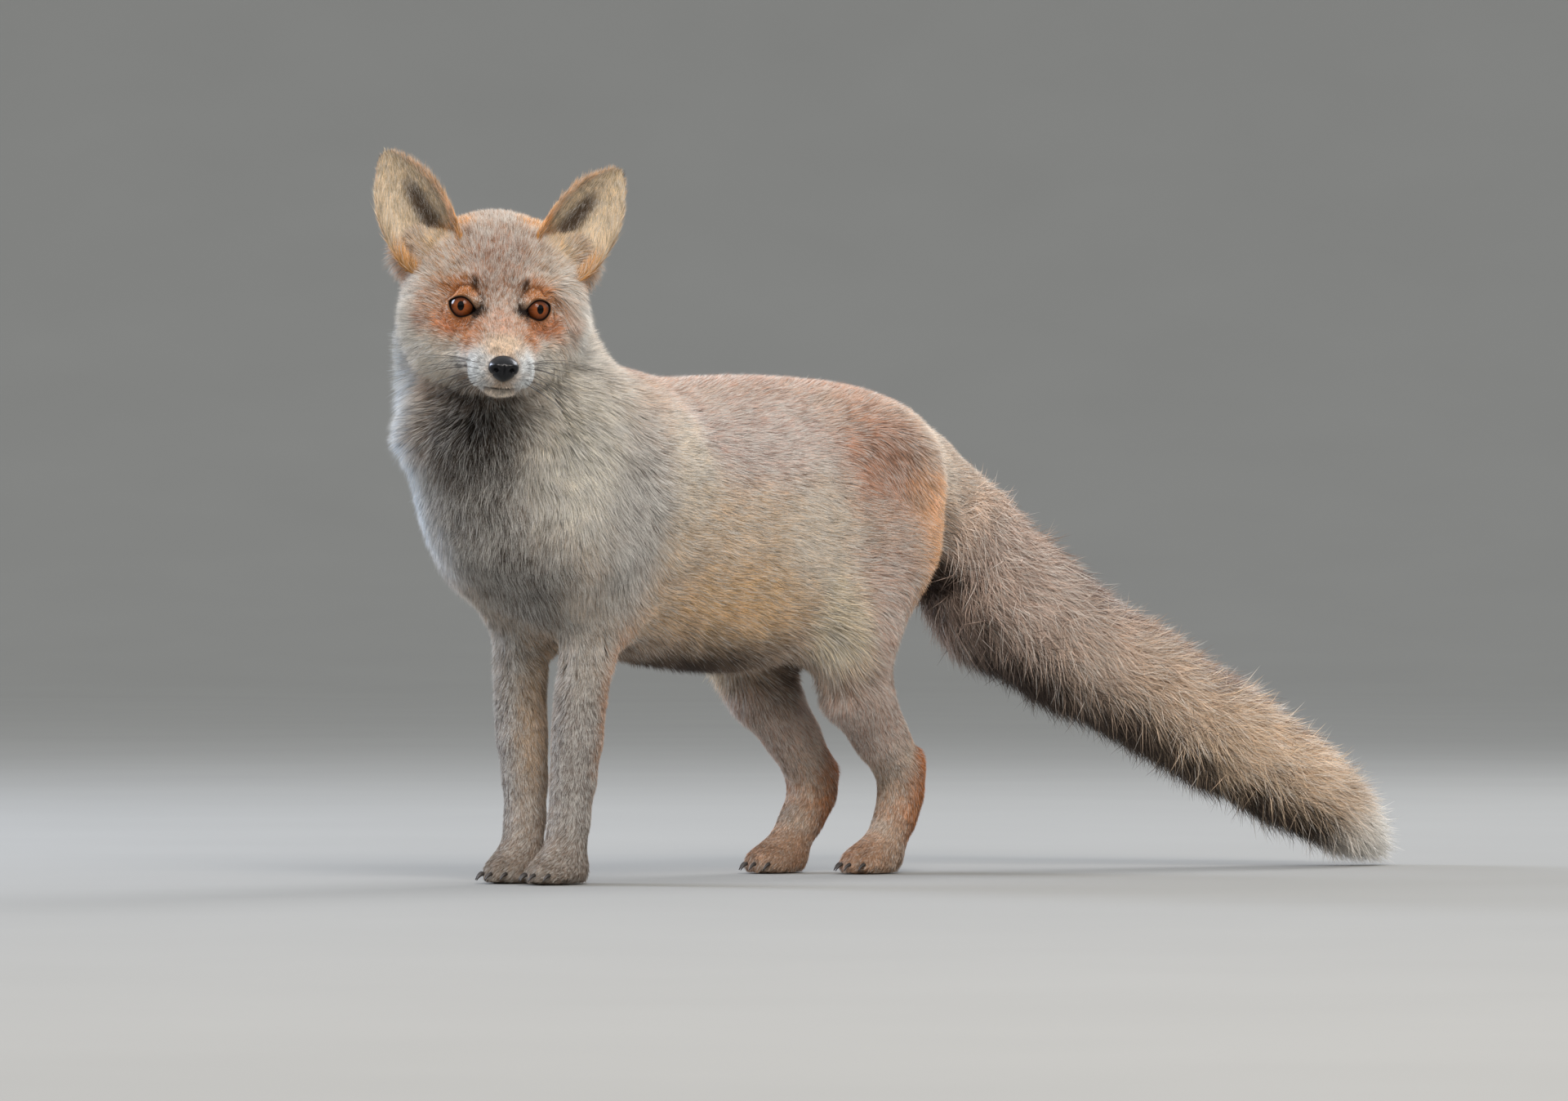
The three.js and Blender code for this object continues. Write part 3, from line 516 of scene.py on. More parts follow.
def band(rows, columns, start=0):
    """Triangles that join closed rings of points, row after row; start is the first point's number."""
    tris = []
    for i in range(rows):
        for j in range(columns):
            a, b = start + i * columns + j, start + i * columns + (j + 1) % columns
            tris += [(a, b, b + columns), (a, b + columns, a + columns)]
    return tris


def triangles_of(mesh):
    mesh.calc_loop_triangles()
    tris = np.empty(len(mesh.loop_triangles) * 3, np.int32)
    mesh.loop_triangles.foreach_get("vertices", tris)
    co = np.empty(len(mesh.vertices) * 3)
    mesh.vertices.foreach_get("co", co)
    return co.reshape(-1, 3) / MM + CENTRE, tris.reshape(-1, 3)


def normals_of(points, tris):
    a, b, c = (points[tris[:, k]] for k in range(3))
    face = np.cross(b - a, c - a)
    total = np.stack([np.bincount(tris.ravel(), np.repeat(face[:, k], 3), len(points)) for k in range(3)], 1)
    return unit(total)


def edges_of(tris):
    pairs = np.sort(np.concatenate([tris[:, [0, 1]], tris[:, [1, 2]], tris[:, [2, 0]]]), axis=1)
    return np.unique(pairs, axis=0)


def relax(values, edges, weight, rounds):
    """Evens a value per point out among its neighbours."""
    a, b = edges.T
    n = len(values)
    degree = np.maximum(np.bincount(edges.ravel(), minlength=n), 1)
    values = values.copy()
    for _ in range(rounds):
        for k in range(values.shape[1]):
            v = values[:, k]
            mean = (np.bincount(a, v[b], n) + np.bincount(b, v[a], n)) / degree
            values[:, k] = v + weight * (mean - v)
    return values


# ---------------------------------------------------------------- the skin

FLESH = [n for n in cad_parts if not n.startswith(("eye", "nose", "ear"))]
HEAD_NODES = ["head", "muzzle", "lower_jaw", "eye_left", "eye_right", "nose"]
VOXEL = 3.0
FIT_REACH = 5  # how far from the bare head the skin is drawn on to it


def swollen(name):
    """A node's welded surface, pushed out a little so that the thin gaps between nodes close."""
    part = bmesh.new()
    part.from_mesh(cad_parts[name].data)
    bmesh.ops.remove_doubles(part, verts=part.verts, dist=0.02 * MM)
    mesh = bpy.data.meshes.new("part")
    part.to_mesh(mesh)
    part.free()
    points, tris = triangles_of(mesh)
    bpy.data.meshes.remove(mesh)
    return points + normals_of(points, tris) * 0.5, tris


def stacked(shells):
    """Several (points, tris) as one."""
    starts = np.cumsum([0] + [len(points) for points, _ in shells[:-1]])
    return np.vstack([p for p, _ in shells]), np.vstack([t + start for (_, t), start in zip(shells, starts)])


def melted(shells):
    """Closed shells melted into one with even triangles, of which only the outermost surface is kept."""
    obj = make_mesh("melt", *stacked(shells))
    remesh = obj.modifiers.new("even", "REMESH")
    remesh.mode = "VOXEL"
    remesh.voxel_size = VOXEL * MM
    made = bpy.data.meshes.new_from_object(obj.evaluated_get(bpy.context.evaluated_depsgraph_get()))
    points, tris = triangles_of(made)
    old = obj.data
    bpy.data.objects.remove(obj)
    bpy.data.meshes.remove(old)
    bpy.data.meshes.remove(made)
    return outermost(points, tris)


def outermost(points, tris):
    edges = edges_of(tris)
    label = np.arange(len(points))
    while True:
        before = label.copy()
        low = np.minimum(label[edges[:, 0]], label[edges[:, 1]])
        np.minimum.at(label, edges[:, 0], low)
        np.minimum.at(label, edges[:, 1], low)
        label = label[label]
        if (label == before).all():
            break
    keep = label == np.bincount(label).argmax()
    index = np.cumsum(keep) - 1
    return points[keep], index[tris[keep[tris[:, 0]]]]


def head_shell():
    """The bare head as a closed shell, found by walking out from a point within it."""
    bm = bmesh.new()
    bmesh.ops.create_icosphere(bm, subdivisions=7, radius=1)
    rays = unit(np.array([v.co for v in bm.verts]))
    tris = np.array([[v.index for v in f.verts] for f in bm.faces])
    bm.free()
    inside = np.zeros(len(rays))
    outside = np.full(len(rays), 170.0)
    for _ in range(22):
        middle = (inside + outside) / 2
        within = bare_head(HEAD_MIDDLE + rays * middle[:, None]) < 0
        inside, outside = np.where(within, middle, inside), np.where(within, outside, middle)
    return from_head(HEAD_MIDDLE + rays * inside[:, None]), tris


def refine(points, tris, wanted):
    """Cuts every edge between wanted points in half."""
    bm = bmesh.new()
    verts = [bm.verts.new(p) for p in points]
    for t in tris:
        bm.faces.new([verts[i] for i in t])
    bm.verts.index_update()
    chosen = [e for e in bm.edges if wanted[e.verts[0].index] and wanted[e.verts[1].index]]
    bmesh.ops.subdivide_edges(bm, edges=chosen, cuts=1, use_grid_fill=True)
    bmesh.ops.triangulate(bm, faces=bm.faces)
    bm.verts.index_update()
    new_points = np.array([v.co for v in bm.verts])
    new_tris = np.array([[v.index for v in f.verts] for f in bm.faces])
    bm.free()
    return new_points, new_tris


def fitted_to_head(points):
    """Draws the points near the bare head exactly on to it."""
    h = to_head(points)
    index = np.flatnonzero((np.abs(h[:, 0]) < 90) & (h[:, 1] < 120) & (np.abs(h[:, 2]) < 95))
    q = h[index]
    pull = smoothstep(FIT_REACH, FIT_REACH * 0.5, np.abs(bare_head(q)))
    for _ in range(3):
        q = q - gradient(bare_head, q) * (bare_head(q) * pull)[:, None]
    points = points.copy()
    points[index] = from_head(q)
    return points


def eye_frame(side):
    """The eye's centre, and its axes: to its outer side, up, and out along its gaze."""
    gaze = np.array([side * math.sin(EYE_OUTWARD), -math.cos(EYE_OUTWARD), 0.04])
    gaze /= np.linalg.norm(gaze)
    outer = unit(np.cross(np.array([0, 0, 1.0]), gaze)) * side * -1
    outer = outer if outer[0] * side > 0 else -outer
    up = unit(np.cross(outer, gaze))
    up = up if up[2] > 0 else -up
    tilted_outer = outer * math.cos(EYE_SLANT) + up * math.sin(EYE_SLANT)
    tilted_up = up * math.cos(EYE_SLANT) - outer * math.sin(EYE_SLANT)
    centre = EYE_AT * np.array([side, 1, 1])
    return centre, tilted_outer, tilted_up, gaze


LID_COLUMNS = 112
# The lid's rounded edge: how far out from the opening each ring lies, and its height over the eyeball in mm.
LID_RIM = [(1.16, 0.05), (1.06, 0.12), (1.01, 0.3), (1.0, 0.55), (1.02, 0.85), (1.07, 1.1), (1.13, 1.2)]
LID_SPREAD = [0.7, 1.5, 2.4, 3.4, 4.5, 5.7, 7.0, 8.4, 10.0]  # rings on the face, in mm past the edge
SOCKET_DEPTH = 4


def lid_ring(side, measure, lift):
    """A ring of points round the eye's opening: measure 1 is its rim, lift the height over the eyeball."""
    centre, outer, up, gaze = eye_frame(side)
    turn = np.arange(LID_COLUMNS) * 2 * math.pi / LID_COLUMNS
    across = measure * np.cos(turn)
    almond = np.sqrt(np.maximum(1 - 0.74 * np.minimum(across**2, 1.2), 0.12))
    height = measure * np.sin(turn) * almond * np.where(np.sin(turn) > 0, *LID_HALF_HEIGHTS)
    aim = gaze + np.outer(np.tan(across * LID_HALF_WIDTH), outer) + np.outer(np.tan(height), up)
    return centre + unit(aim) * (EYE_RADIUS + lift)


def lids(side):
    """The lids: skin rounded over the eyeball's edge that runs out on to the face, with a fold over it."""
    centre, _, up, gaze = eye_frame(side)
    rings = [lid_ring(side, *row) for row in LID_RIM]
    edge = rings[-1]
    away = edge - centre
    radial = unit(away - np.outer(away @ gaze, gaze))
    high = bare_head(edge)
    over = smoothstep(0.1, 0.7, radial @ up)
    for spread in LID_SPREAD:
        t = spread / LID_SPREAD[-1]
        ring = edge + radial * spread
        for _ in range(4):
            ring = ring - gradient(bare_head, ring) * bare_head(ring)[:, None]
        fold = math.exp(-(((spread - 4.0) / 1.6) ** 2))
        dip = math.exp(-(((spread - 1.6) / 0.8) ** 2))
        crease = over * (0.5 * fold - 0.5 * dip)
        rings.append(ring + gradient(bare_head, ring) * (high * (1 - t) ** 2 + crease - 0.3 * t**4)[:, None])
    row = np.repeat(np.arange(len(rings)), LID_COLUMNS)
    # the dark, bare band of the lid is wider above the eye: partly the lid's dark edge and lashes, partly painted
    # shade under the upper lid
    dark_lid_and_shade_above = np.tile(over, len(rings)) * 1.4
    bare = smoothstep(len(LID_RIM) + dark_lid_and_shade_above, len(LID_RIM) - 2.2, row) + (row > len(rings) - 2)
    points, tris = np.vstack(rings), np.array(band(len(rings) - 1, LID_COLUMNS))
    facing = (normals_of(points, tris) * (points - centre)).sum(1).mean()
    return from_head(points), tris if facing > 0 else tris[:, ::-1], np.minimum(bare, 1), rings[-1]


def under_lids(points, side, outline):
    """How far inside the lids' outline each point is: 1 where the skin behind them sinks into the socket."""
    centre, outer, up, gaze = eye_frame(side)
    edge = outline - centre
    turn = np.arctan2(edge @ up, edge @ outer)
    order = np.argsort(turn)
    q = to_head(points) - centre
    flat = np.hypot(q @ outer, q @ up)
    width = np.hypot(edge @ outer, edge @ up)[order]
    rim = np.interp(np.arctan2(q @ up, q @ outer), turn[order], width, period=2 * math.pi)
    return smoothstep(-0.4, -2.6, flat - rim) * (np.linalg.norm(q, axis=1) < 34) * (q @ gaze > -9)


def mouth_measure(h):
    """Height above the line of the lips, which rises a little towards the corners of the mouth."""
    return h[:, 2] - (MOUTH_HEIGHT + 2.2 * smoothstep(3, 14, np.abs(h[:, 0])) - 1.5 * smoothstep(-34, -14, h[:, 1]))


def carved_face(points, tris):
    """The line of the mouth, the lower lip set back, and the groove under the nose."""
    normals = normals_of(points, tris)
    h = to_head(points)
    front = smoothstep(-12, -22, h[:, 1]) * smoothstep(30, 24, np.abs(h[:, 0]))
    line = mouth_measure(h)
    carve = 1.5 * np.exp(-((line / 0.8) ** 2)) + 1.3 * smoothstep(0.4, -0.4, line) * smoothstep(-12, -3, line)
    groove = 0.9 * np.exp(-((h[:, 0] / 0.7) ** 2)) * smoothstep(-48, -51, h[:, 2]) * smoothstep(-0.5, 0.5, line)
    return points - normals * (front * (carve + groove))[:, None]


def parted_toes(points, tris):
    """The grooves between the toes."""
    normals = normals_of(points, tris)
    depth = np.zeros(len(points))
    for paws in (FOREPAW, HINDPAW):
        for x, y in paws.values():
            near = smoothstep(26, 20, points[:, 2]) * smoothstep(y - 4, y - 12, points[:, 1])
            near = near * (np.abs(points[:, 0] - x) < 22) * (np.abs(points[:, 1] - y) < 45)
            for n in (-1, 0, 1):
                depth += 1.8 * near * np.exp(-(((points[:, 0] - x - n * TOE_RADIUS) / 1.5) ** 2))
    return points - normals * depth[:, None]


def ear_leaf(side):
    """One ear's shell, its tris, and for each point how far up it is, how far across, and whether it faces in."""
    rows, columns = 44, 26
    axis = unit(np.array(EAR_LEAN[side], float) * [side, 1, 1])
    facing = np.array(EAR_FACING) * [side, 1, 1]
    facing = unit(facing - axis * (facing @ axis))
    across = np.cross(axis, facing)
    base = EAR_BASE * [side, 1, 1]
    up = np.repeat(np.linspace(EAR_SHAPE[0][0], 1, rows + 1), 2 * columns)
    ring = np.tile(np.arange(2 * columns), rows + 1)
    front = ring < columns
    v = np.where(front, (2 * ring + 1) / columns - 1, 3 - (2 * ring + 1) / columns)
    half, wrap = catmull(EAR_SHAPE, up)
    curl = np.radians(wrap)
    radius = half / np.sin(curl)
    thick = EAR_THICKNESS / 2 * (1 - 0.55 * v**4) * (1 - 0.75 * up**3)
    reach = radius + np.where(front, -thick, thick)
    lift = radius * np.cos(curl / 2) - reach * np.cos(curl * v)
    h = base + np.outer(up * EAR_LENGTH - EAR_SUNK, axis)
    h = h + np.outer(reach * np.sin(curl * v), across) + np.outer(lift, facing)
    size = 2 * columns
    tris = band(rows, size)
    tris += [(rows * size, rows * size + j, rows * size + j + 1) for j in range(1, size - 1)]
    tris += [(0, j + 1, j) for j in range(1, size - 1)]
    return h, np.array(tris), up, v, front, axis, across * -side, facing


EAR_HAIR_WIDTH, EAR_TUFTS = 0.36, 3.7


def ear_coat(side):
    """An ear's tris, and by name its points in the body's frame and all that its hair needs at each of them."""
    h, tris, up, v, front, axis, outward, facing = ear_leaf(side)
    points = from_head(h)
    outer = v * (1 if (np.cross(axis, facing) @ outward) > 0 else -1)  # -1 at the inner rim, 1 at the outer one
    lie = axis * np.where(front, 0.85, 1.0)[:, None] + np.outer(np.where(front, 0.55, 0.25 * outer), outward)
    rim = smoothstep(0.62, 0.95, np.abs(v))
    inner_rim = rim * (outer < 0)
    short = smoothstep(1.0, 0.35, up)
    depth = np.where(front, 1.6 + (1.6 + 3.0 * inner_rim) * rim * short, 0.9 + 0.7 * rim)
    medial = smoothstep(0.15, -0.75, outer)
    length = np.where(front, 6 + (6 * rim + 9 * medial) * short, 5.0)
    hollow = smoothstep(0.5, 0.1, np.abs(outer - 0.12)) * smoothstep(0.84, 0.55, up)
    # painted shade: the hair deep in the ear's hollow is darkened
    inside = blend(linear("#e0cdb2"), linear("#3b2d25"), 0.92 * hollow)
    inside = blend(inside, linear("#e6bc98"), 0.7 * rim * (outer > 0))
    behind = blend(linear("#a87b54"), linear("#231e1c"), smoothstep(0.12, 0.38, up))
    behind = blend(behind, linear("#dcb894"), smoothstep(0.78, 0.97, np.abs(v)))
    colour = np.where(front[:, None], inside, behind)
    colour = blend(colour, linear("#cf9a64"), 0.8 * smoothstep(0.26, 0.06, up))
    colour = as_hair(colour)
    unwrap = np.stack([up, 0.5 + 0.24 * v * np.where(front, 1, -1) + np.where(front, 0.25, -0.25)], 1)
    normals = normals_of(points, tris)
    lie = unit(flattened(unit(lie @ HEAD_AXES.T), normals))
    width, tufts = np.full(len(points), EAR_HAIR_WIDTH), np.full(len(points), EAR_TUFTS)
    return tris, dict(points=points, normals=normals, lie=lie, depth=depth, length=length, width=width,
                      tufts=tufts, unwrap=unwrap, colour=colour)


def near_face(points, front, wide, top, bottom):
    h = to_head(points)
    return (h[:, 1] < front) & (np.abs(h[:, 0]) < wide) & (h[:, 2] < top) & (h[:, 2] > bottom)


def build_skin():
    """The skin's points, tris and edges, its depth under the coat, and how bare of hair each point is."""
    solids = {name: swollen(name) for name in dict.fromkeys(FLESH + HEAD_NODES)}
    whole = melted(list(solids.values()))
    points, tris = whole
    edges = edges_of(tris)
    legs = smoothstep(150, 110, points[:, 2]) * (points[:, 1] < 215)
    points = relax(points, edges, 0.5 * mix(1.0, 0.4, legs), 26)
    depth = relax(lie_of_coat(points)[1][:, None], edges, 0.5, 12)[:, 0]
    for _ in range(8):
        points = points - normals_of(points, tris) * ((depth * 0.86 - 0.5) / 8)[:, None]
        points = relax(points, edges, 0.3 * smoothstep(3, 9, depth), 2)
    h = to_head(points)
    shrink = 0.3 * smoothstep(105, 60, h[:, 1]) * near_face(points, 110, 110, 110, -90)
    points = from_head(h + (HEAD_MIDDLE - h) * shrink[:, None])
    points, tris = melted([(points, tris), head_shell()])
    edges = edges_of(tris)
    beside_head = near_face(points, 160, 110, 100, -150) * smoothstep(1.5, 6, np.abs(bare_head(to_head(points))))
    points = relax(points, edges, 0.5 * np.maximum(beside_head, 0.15), 8)
    for box in ((60, 66, 72, -76), (14, 46, 30, -70)):
        points, tris = refine(points, tris, near_face(points, *box))
        points = fitted_to_head(points)
        points = relax(points, edges_of(tris), 0.4 * near_face(points, box[0] + 10, *box[1:]), 3)
    h = to_head(points)
    points, tris = refine(points, tris, near_face(points, -20, 30, -40, -70) & (np.abs(mouth_measure(h)) < 3.5))
    points = fitted_to_head(points)
    points = carved_face(points, tris)
    points = parted_toes(points, tris)
    points[:, 2] = np.maximum(points[:, 2], 0.3)
    bare = np.zeros(len(points))
    normals = normals_of(points, tris)
    both_lids = [lids(side) for side in (LEFT, RIGHT)]
    for side, lid in zip((LEFT, RIGHT), both_lids):
        sunk = under_lids(points, side, lid[3])
        points = points - normals * (sunk * SOCKET_DEPTH)[:, None]
        bare = np.maximum(bare, sunk > 0.25)
    dark = [np.zeros(len(points))] + [lid[2] for lid in both_lids]
    bare = np.concatenate([bare] + [lid[2] > 0.3 for lid in both_lids])
    points, tris = stacked([(points, tris)] + [lid[:2] for lid in both_lids])
    return points, tris, edges_of(tris), distance_to(whole, points), bare, np.concatenate(dark)


def distance_to(shell, points):
    """How deep each point lies under a closed shell."""
    solid = BVHTree.FromPolygons(shell[0].tolist(), shell[1].tolist())
    deep = np.zeros(len(points))
    for i, p in enumerate(points.tolist()):
        place, normal, _, away = solid.find_nearest(p)
        deep[i] = away if (place - Vector(p)).dot(normal) > 0 else 0
    return deep


def combed(points, normals, edges, lie):
    """The hair's lie laid in the skin's surface and evened out."""
    for _ in range(3):
        lie = unit(flattened(lie, normals, 0.97))
        lie = relax(lie, edges, 0.5, 5)
    return unit(flattened(lie, normals))


# ---------------------------------------------------------------- tufts

# Each kind of hair: the sections of a tuft, the size in mm of the locks it gathers in and how strongly, how
# far hairs stray from the lie, how far they sway in waves, the size in mm of the grizzled flecks, its slot.
KINDS = {
    "face": dict(sections=1, lock=4, hold=0.15, frizz=0.15, sway=0.22, fleck=2.2, slot="grey_coat"),
    "ear": dict(sections=1, lock=4, hold=0.25, frizz=0.2, sway=0.22, fleck=2.0, slot="ear_coat"),
    "foreleg": dict(sections=1, lock=5, hold=0.2, frizz=0.18, sway=0.22, fleck=1.5, slot="slate_coat"),
    "hindleg": dict(sections=1, lock=5, hold=0.2, frizz=0.18, sway=0.22, fleck=1.5, slot="rust_coat"),
    "ruff": dict(sections=1, lock=8, hold=0.5, frizz=0.36, sway=0.5, fleck=3.0, slot="grey_coat"),
    "flank": dict(sections=1, lock=7, hold=0.36, frizz=0.25, sway=0.3, fleck=2.6, slot="frosted_coat"),
    "brush": dict(sections=2, lock=13, hold=0.12, frizz=0.42, sway=0.26, fleck=5.0, slot="brush_coat"),
}
HAIR_LENGTHS = 0.62, 1.2  # the shortest and longest hair, as shares of the length given for its place
HAIR_HEIGHTS = 0.55, 1.12  # the lowest and highest tip, as shares of the coat's depth
STRAY_SHARE, STRAY_LIFT = 0.05, 0.3  # how many hairs stand out of the coat, and how much higher they do
STEEPEST = 0.92  # the most a tip may rise, as a share of its hair's length
ROOT_SUNK = 0.4  # how far under the skin a tuft starts
OFF_FLOOR = 0.4  # how near the floor a hair comes
DARK_SHARE = 0.2  # how many hairs end dark where few end pale
UV_PATCH = 0.003  # a tuft's size on the coat's unwrap
GROOMED = np.array([7.0, 14.0, 6.0])  # how far past the solids' box the longest hairs are left
COAT_REACH = np.array(CAD_BOX[0]) / MM + CENTRE - GROOMED, np.array(CAD_BOX[1]) / MM + CENTRE + GROOMED


def lock_means(points, values, size, seed):
    """Gathers points into locks about `size` across, and gives each point its lock's mean of the values."""
    warp = np.stack([noise(points, size * 1.7, seed + k) for k in range(3)], 1) * size * 0.5
    cell = np.floor((points + warp) / size).astype(np.int64)
    key = (cell[:, 0] * 4099 + cell[:, 1]) * 4099 + cell[:, 2]
    _, member = np.unique(key, return_inverse=True)
    count = np.bincount(member)
    means = np.stack([np.bincount(member, values[:, k]) / count for k in range(values.shape[1])], 1)
    return means[member], member


def scatter(rng, points, tris, tufts):
    """Random places on the triangles, as many per square mm as tufts says: triangle and its three shares."""
    a, b, c = (points[tris[:, k]] for k in range(3))
    area = np.linalg.norm(np.cross(b - a, c - a), axis=1) / 2
    load = np.cumsum(area * tufts[tris].mean(1))
    count = int(load[-1])
    chosen = np.searchsorted(load, np.sort(rng.random(count)) * load[-1])
    r1, r2 = np.sqrt(rng.random(count)), rng.random(count)
    return chosen, np.stack([1 - r1, r1 * (1 - r2), r1 * r2], 1)


def grow(name, kind, skin, chosen_tris, seed):
    """One coat piece: a joined mesh of tapering tufts."""
    rng = np.random.default_rng(seed)
    coat = KINDS[kind]
    tri, share = scatter(rng, skin["points"], chosen_tris, skin["tufts"])
    corners = chosen_tris[tri]

    def at(values):
        v = values[corners]
        return np.einsum("ij,ij...->i...", share, v)

    root, normal = at(skin["points"]), unit(at(skin["normals"]))
    lie = unit(at(skin["lie"]))
    depth, length, width = at(skin["depth"]), at(skin["length"]), at(skin["width"])
    n = len(root)
    lie = lie + coat["frizz"] * rng.normal(size=(n, 3))
    sway = np.stack([noise(root, coat["lock"] * 2.5, seed + 5 + k) for k in range(3)], 1)
    lie = lie + coat["sway"] * sway
    lie = unit(flattened(lie, normal))
    long = length * rng.uniform(*HAIR_LENGTHS, n)
    stray = 1 + STRAY_LIFT * (rng.random(n) < STRAY_SHARE)
    high = np.minimum(depth * rng.uniform(*HAIR_HEIGHTS, n) * stray, STEEPEST * long)
    flat = np.sqrt(long**2 - high**2)
    tip = root + lie * flat[:, None] + normal * high[:, None]
    lock, member = lock_means(root, np.hstack([tip, root]), coat["lock"], seed)
    hold = coat["hold"] * rng.uniform(0.5, 1.3, n)
    drawn = lock[:, :3] + (root - lock[:, 3:]) * 0.15
    tip = blend(tip, drawn, hold)
    tip = np.clip(tip, COAT_REACH[0], COAT_REACH[1])
    twist = rng.normal(size=(n, 1)) * 0.5
    broad = unit(np.cross(lie, normal) + normal * twist) * (width * rng.uniform(0.7, 1.3, n) / 2)[:, None]
    root = root - normal * ROOT_SUNK
    if kind == "ear":
        colour = at(skin["colour"])
        frost = 0.25 * smoothstep(0.05, 0.2, colour.mean(1))
    else:
        colour, frost = paint(root, normal)
    lock_shade = np.random.default_rng(seed + 1).normal(size=member.max() + 1)[member]
    shade = 1 + 0.16 * rng.normal(size=n) + 0.12 * lock_shade
    body = colour * np.clip(shade, 0.45, 1.6)[:, None]
    grizzle = noise(root, coat["fleck"], seed + 9)
    frosted = rng.random(n) < frost * (1 + 0.9 * grizzle)
    pale = blend(colour, linear("#f4f0e8"), np.full(n, 0.9))
    dark = (rng.random(n) < DARK_SHARE * (1 - 1.2 * grizzle)) & ~frosted
    end = np.where(frosted[:, None], pale, body * 1.15)
    end = np.where(dark[:, None], body * 0.4, end)
    # the hairs darken towards their roots: partly the darker underfur, partly painted shade of the coat over them
    dark_root_and_shade = body * (0.36 if kind == "ruff" else 0.48)
    middle = np.where(frosted[:, None], mix(body, pale, 0.3), body)
    if coat["sections"] == 1:
        points = np.stack([root - broad, root + broad, tip], 1)
        colours = np.stack([dark_root_and_shade, dark_root_and_shade, end], 1)
        faces = np.array([[0, 1, 2]])
        patch = np.array([[-0.5, 0], [0.5, 0], [0, 1]])
    else:
        bend = root + (tip - root) * 0.5 + normal * (high * 0.24)[:, None]
        points = np.stack([root - broad, root + broad, bend + broad * 0.75, bend - broad * 0.75, tip], 1)
        colours = np.stack([dark_root_and_shade, dark_root_and_shade, middle, middle, end], 1)
        faces = np.array([[0, 1, 2], [0, 2, 3], [3, 2, 4]])
        patch = np.array([[-0.5, 0], [0.5, 0], [0.4, 0.5], [-0.4, 0.5], [0, 1]])
    each = points.shape[1]
    uv = at(skin["unwrap"])[:, None] + patch[None] * UV_PATCH
    all_faces = (faces[None] + (np.arange(n) * each)[:, None, None]).reshape(-1, 3)
    flat_points = points.reshape(-1, 3)
    flat_points[:, 2] = np.maximum(flat_points[:, 2], OFF_FLOOR)
    piece = make_mesh(name, flat_points, all_faces, uv.reshape(-1, 2), colours.reshape(-1, 3), smooth=False)
    print(name, "tufts", n, "triangles", len(all_faces))
    return piece


# ---------------------------------------------------------------- eyes, nose, whiskers, claws


def ball(rows, columns):
    """A unit ball whose pole is +Z: its points, each one's angle from the pole and round it, and its tris."""
    theta = np.repeat(np.linspace(0, math.pi, rows + 1), columns)
    phi = np.tile(np.arange(columns) * 2 * math.pi / columns, rows + 1)
    points = np.stack([np.sin(theta) * np.cos(phi), np.sin(theta) * np.sin(phi), np.cos(theta)], 1)
    tris = []
    for i in range(rows):
        for j in range(columns):
            a, b = i * columns + j, i * columns + (j + 1) % columns
            if i > 0:
                tris.append((a, a + columns, b))
            if i < rows - 1:
                tris.append((b, a + columns, b + columns))
    return points, theta, phi, np.array(tris)


WELD = 0.01  # points nearer to one another than this become one


def welded(obj):
    """A mesh object whose doubled points are joined and whose faces all look outwards."""
    bm = bmesh.new()
    bm.from_mesh(obj.data)
    bmesh.ops.remove_doubles(bm, verts=bm.verts, dist=WELD * MM)
    bmesh.ops.recalc_face_normals(bm, faces=bm.faces)
    bm.to_mesh(obj.data)
    bm.free()
    return obj


PUPIL_ACROSS, PUPIL_UPRIGHT = math.radians(13.5), math.radians(19)  # half angles from the eye's centre
IRIS_EDGE = math.radians(50)
CORNEA_BULGE = 0.045  # of the eye's radius


def eye(side):
    """An eyeball with its clear bulge, amber iris, upright oval pupil and dark white, and painted shade of the
    upper lid over the top of the iris.
    """
    unit_points, theta, phi, tris = ball(120, 90)
    bulge = EYE_RADIUS * (1 + CORNEA_BULGE * np.exp(-((theta / math.radians(36)) ** 2)))
    centre, _, _, gaze = eye_frame(side)
    level_outer = unit(np.cross(np.array([0, 0, 1.0]), gaze))
    level_up = np.cross(gaze, level_outer)
    axes = np.stack([level_outer, level_up, gaze])
    points = from_head(centre + (unit_points * bulge[:, None]) @ axes)
    across = theta * np.cos(phi) / PUPIL_ACROSS
    upright = theta * np.sin(phi) / PUPIL_UPRIGHT
    pupil = smoothstep(1.06, 0.94, np.hypot(across, upright))
    rays = 0.5 + 0.25 * np.sin(phi * 23 + 2 * np.sin(phi * 5)) + 0.25 * np.sin(phi * 41)
    ring = theta / IRIS_EDGE
    iris = blend(linear("#8a4821"), linear("#44200d"), smoothstep(0.35, 1.0, ring)) * (0.75 + 0.45 * rays)[:, None]
    # painted shade: the iris darkens towards its top, the shadow of the upper lid and lashes
    iris = iris * mix(1.0, 0.25, smoothstep(0.0, 0.8, ring * np.sin(phi)))[:, None]
    colour = blend(iris, linear("#120c09"), smoothstep(0.9, 1.04, ring))
    colour = blend(colour, linear("#050404"), pupil)
    name = "eyeball_left" if side == LEFT else "eyeball_right"
    return welded(make_mesh(name, points, tris, colours=colour))


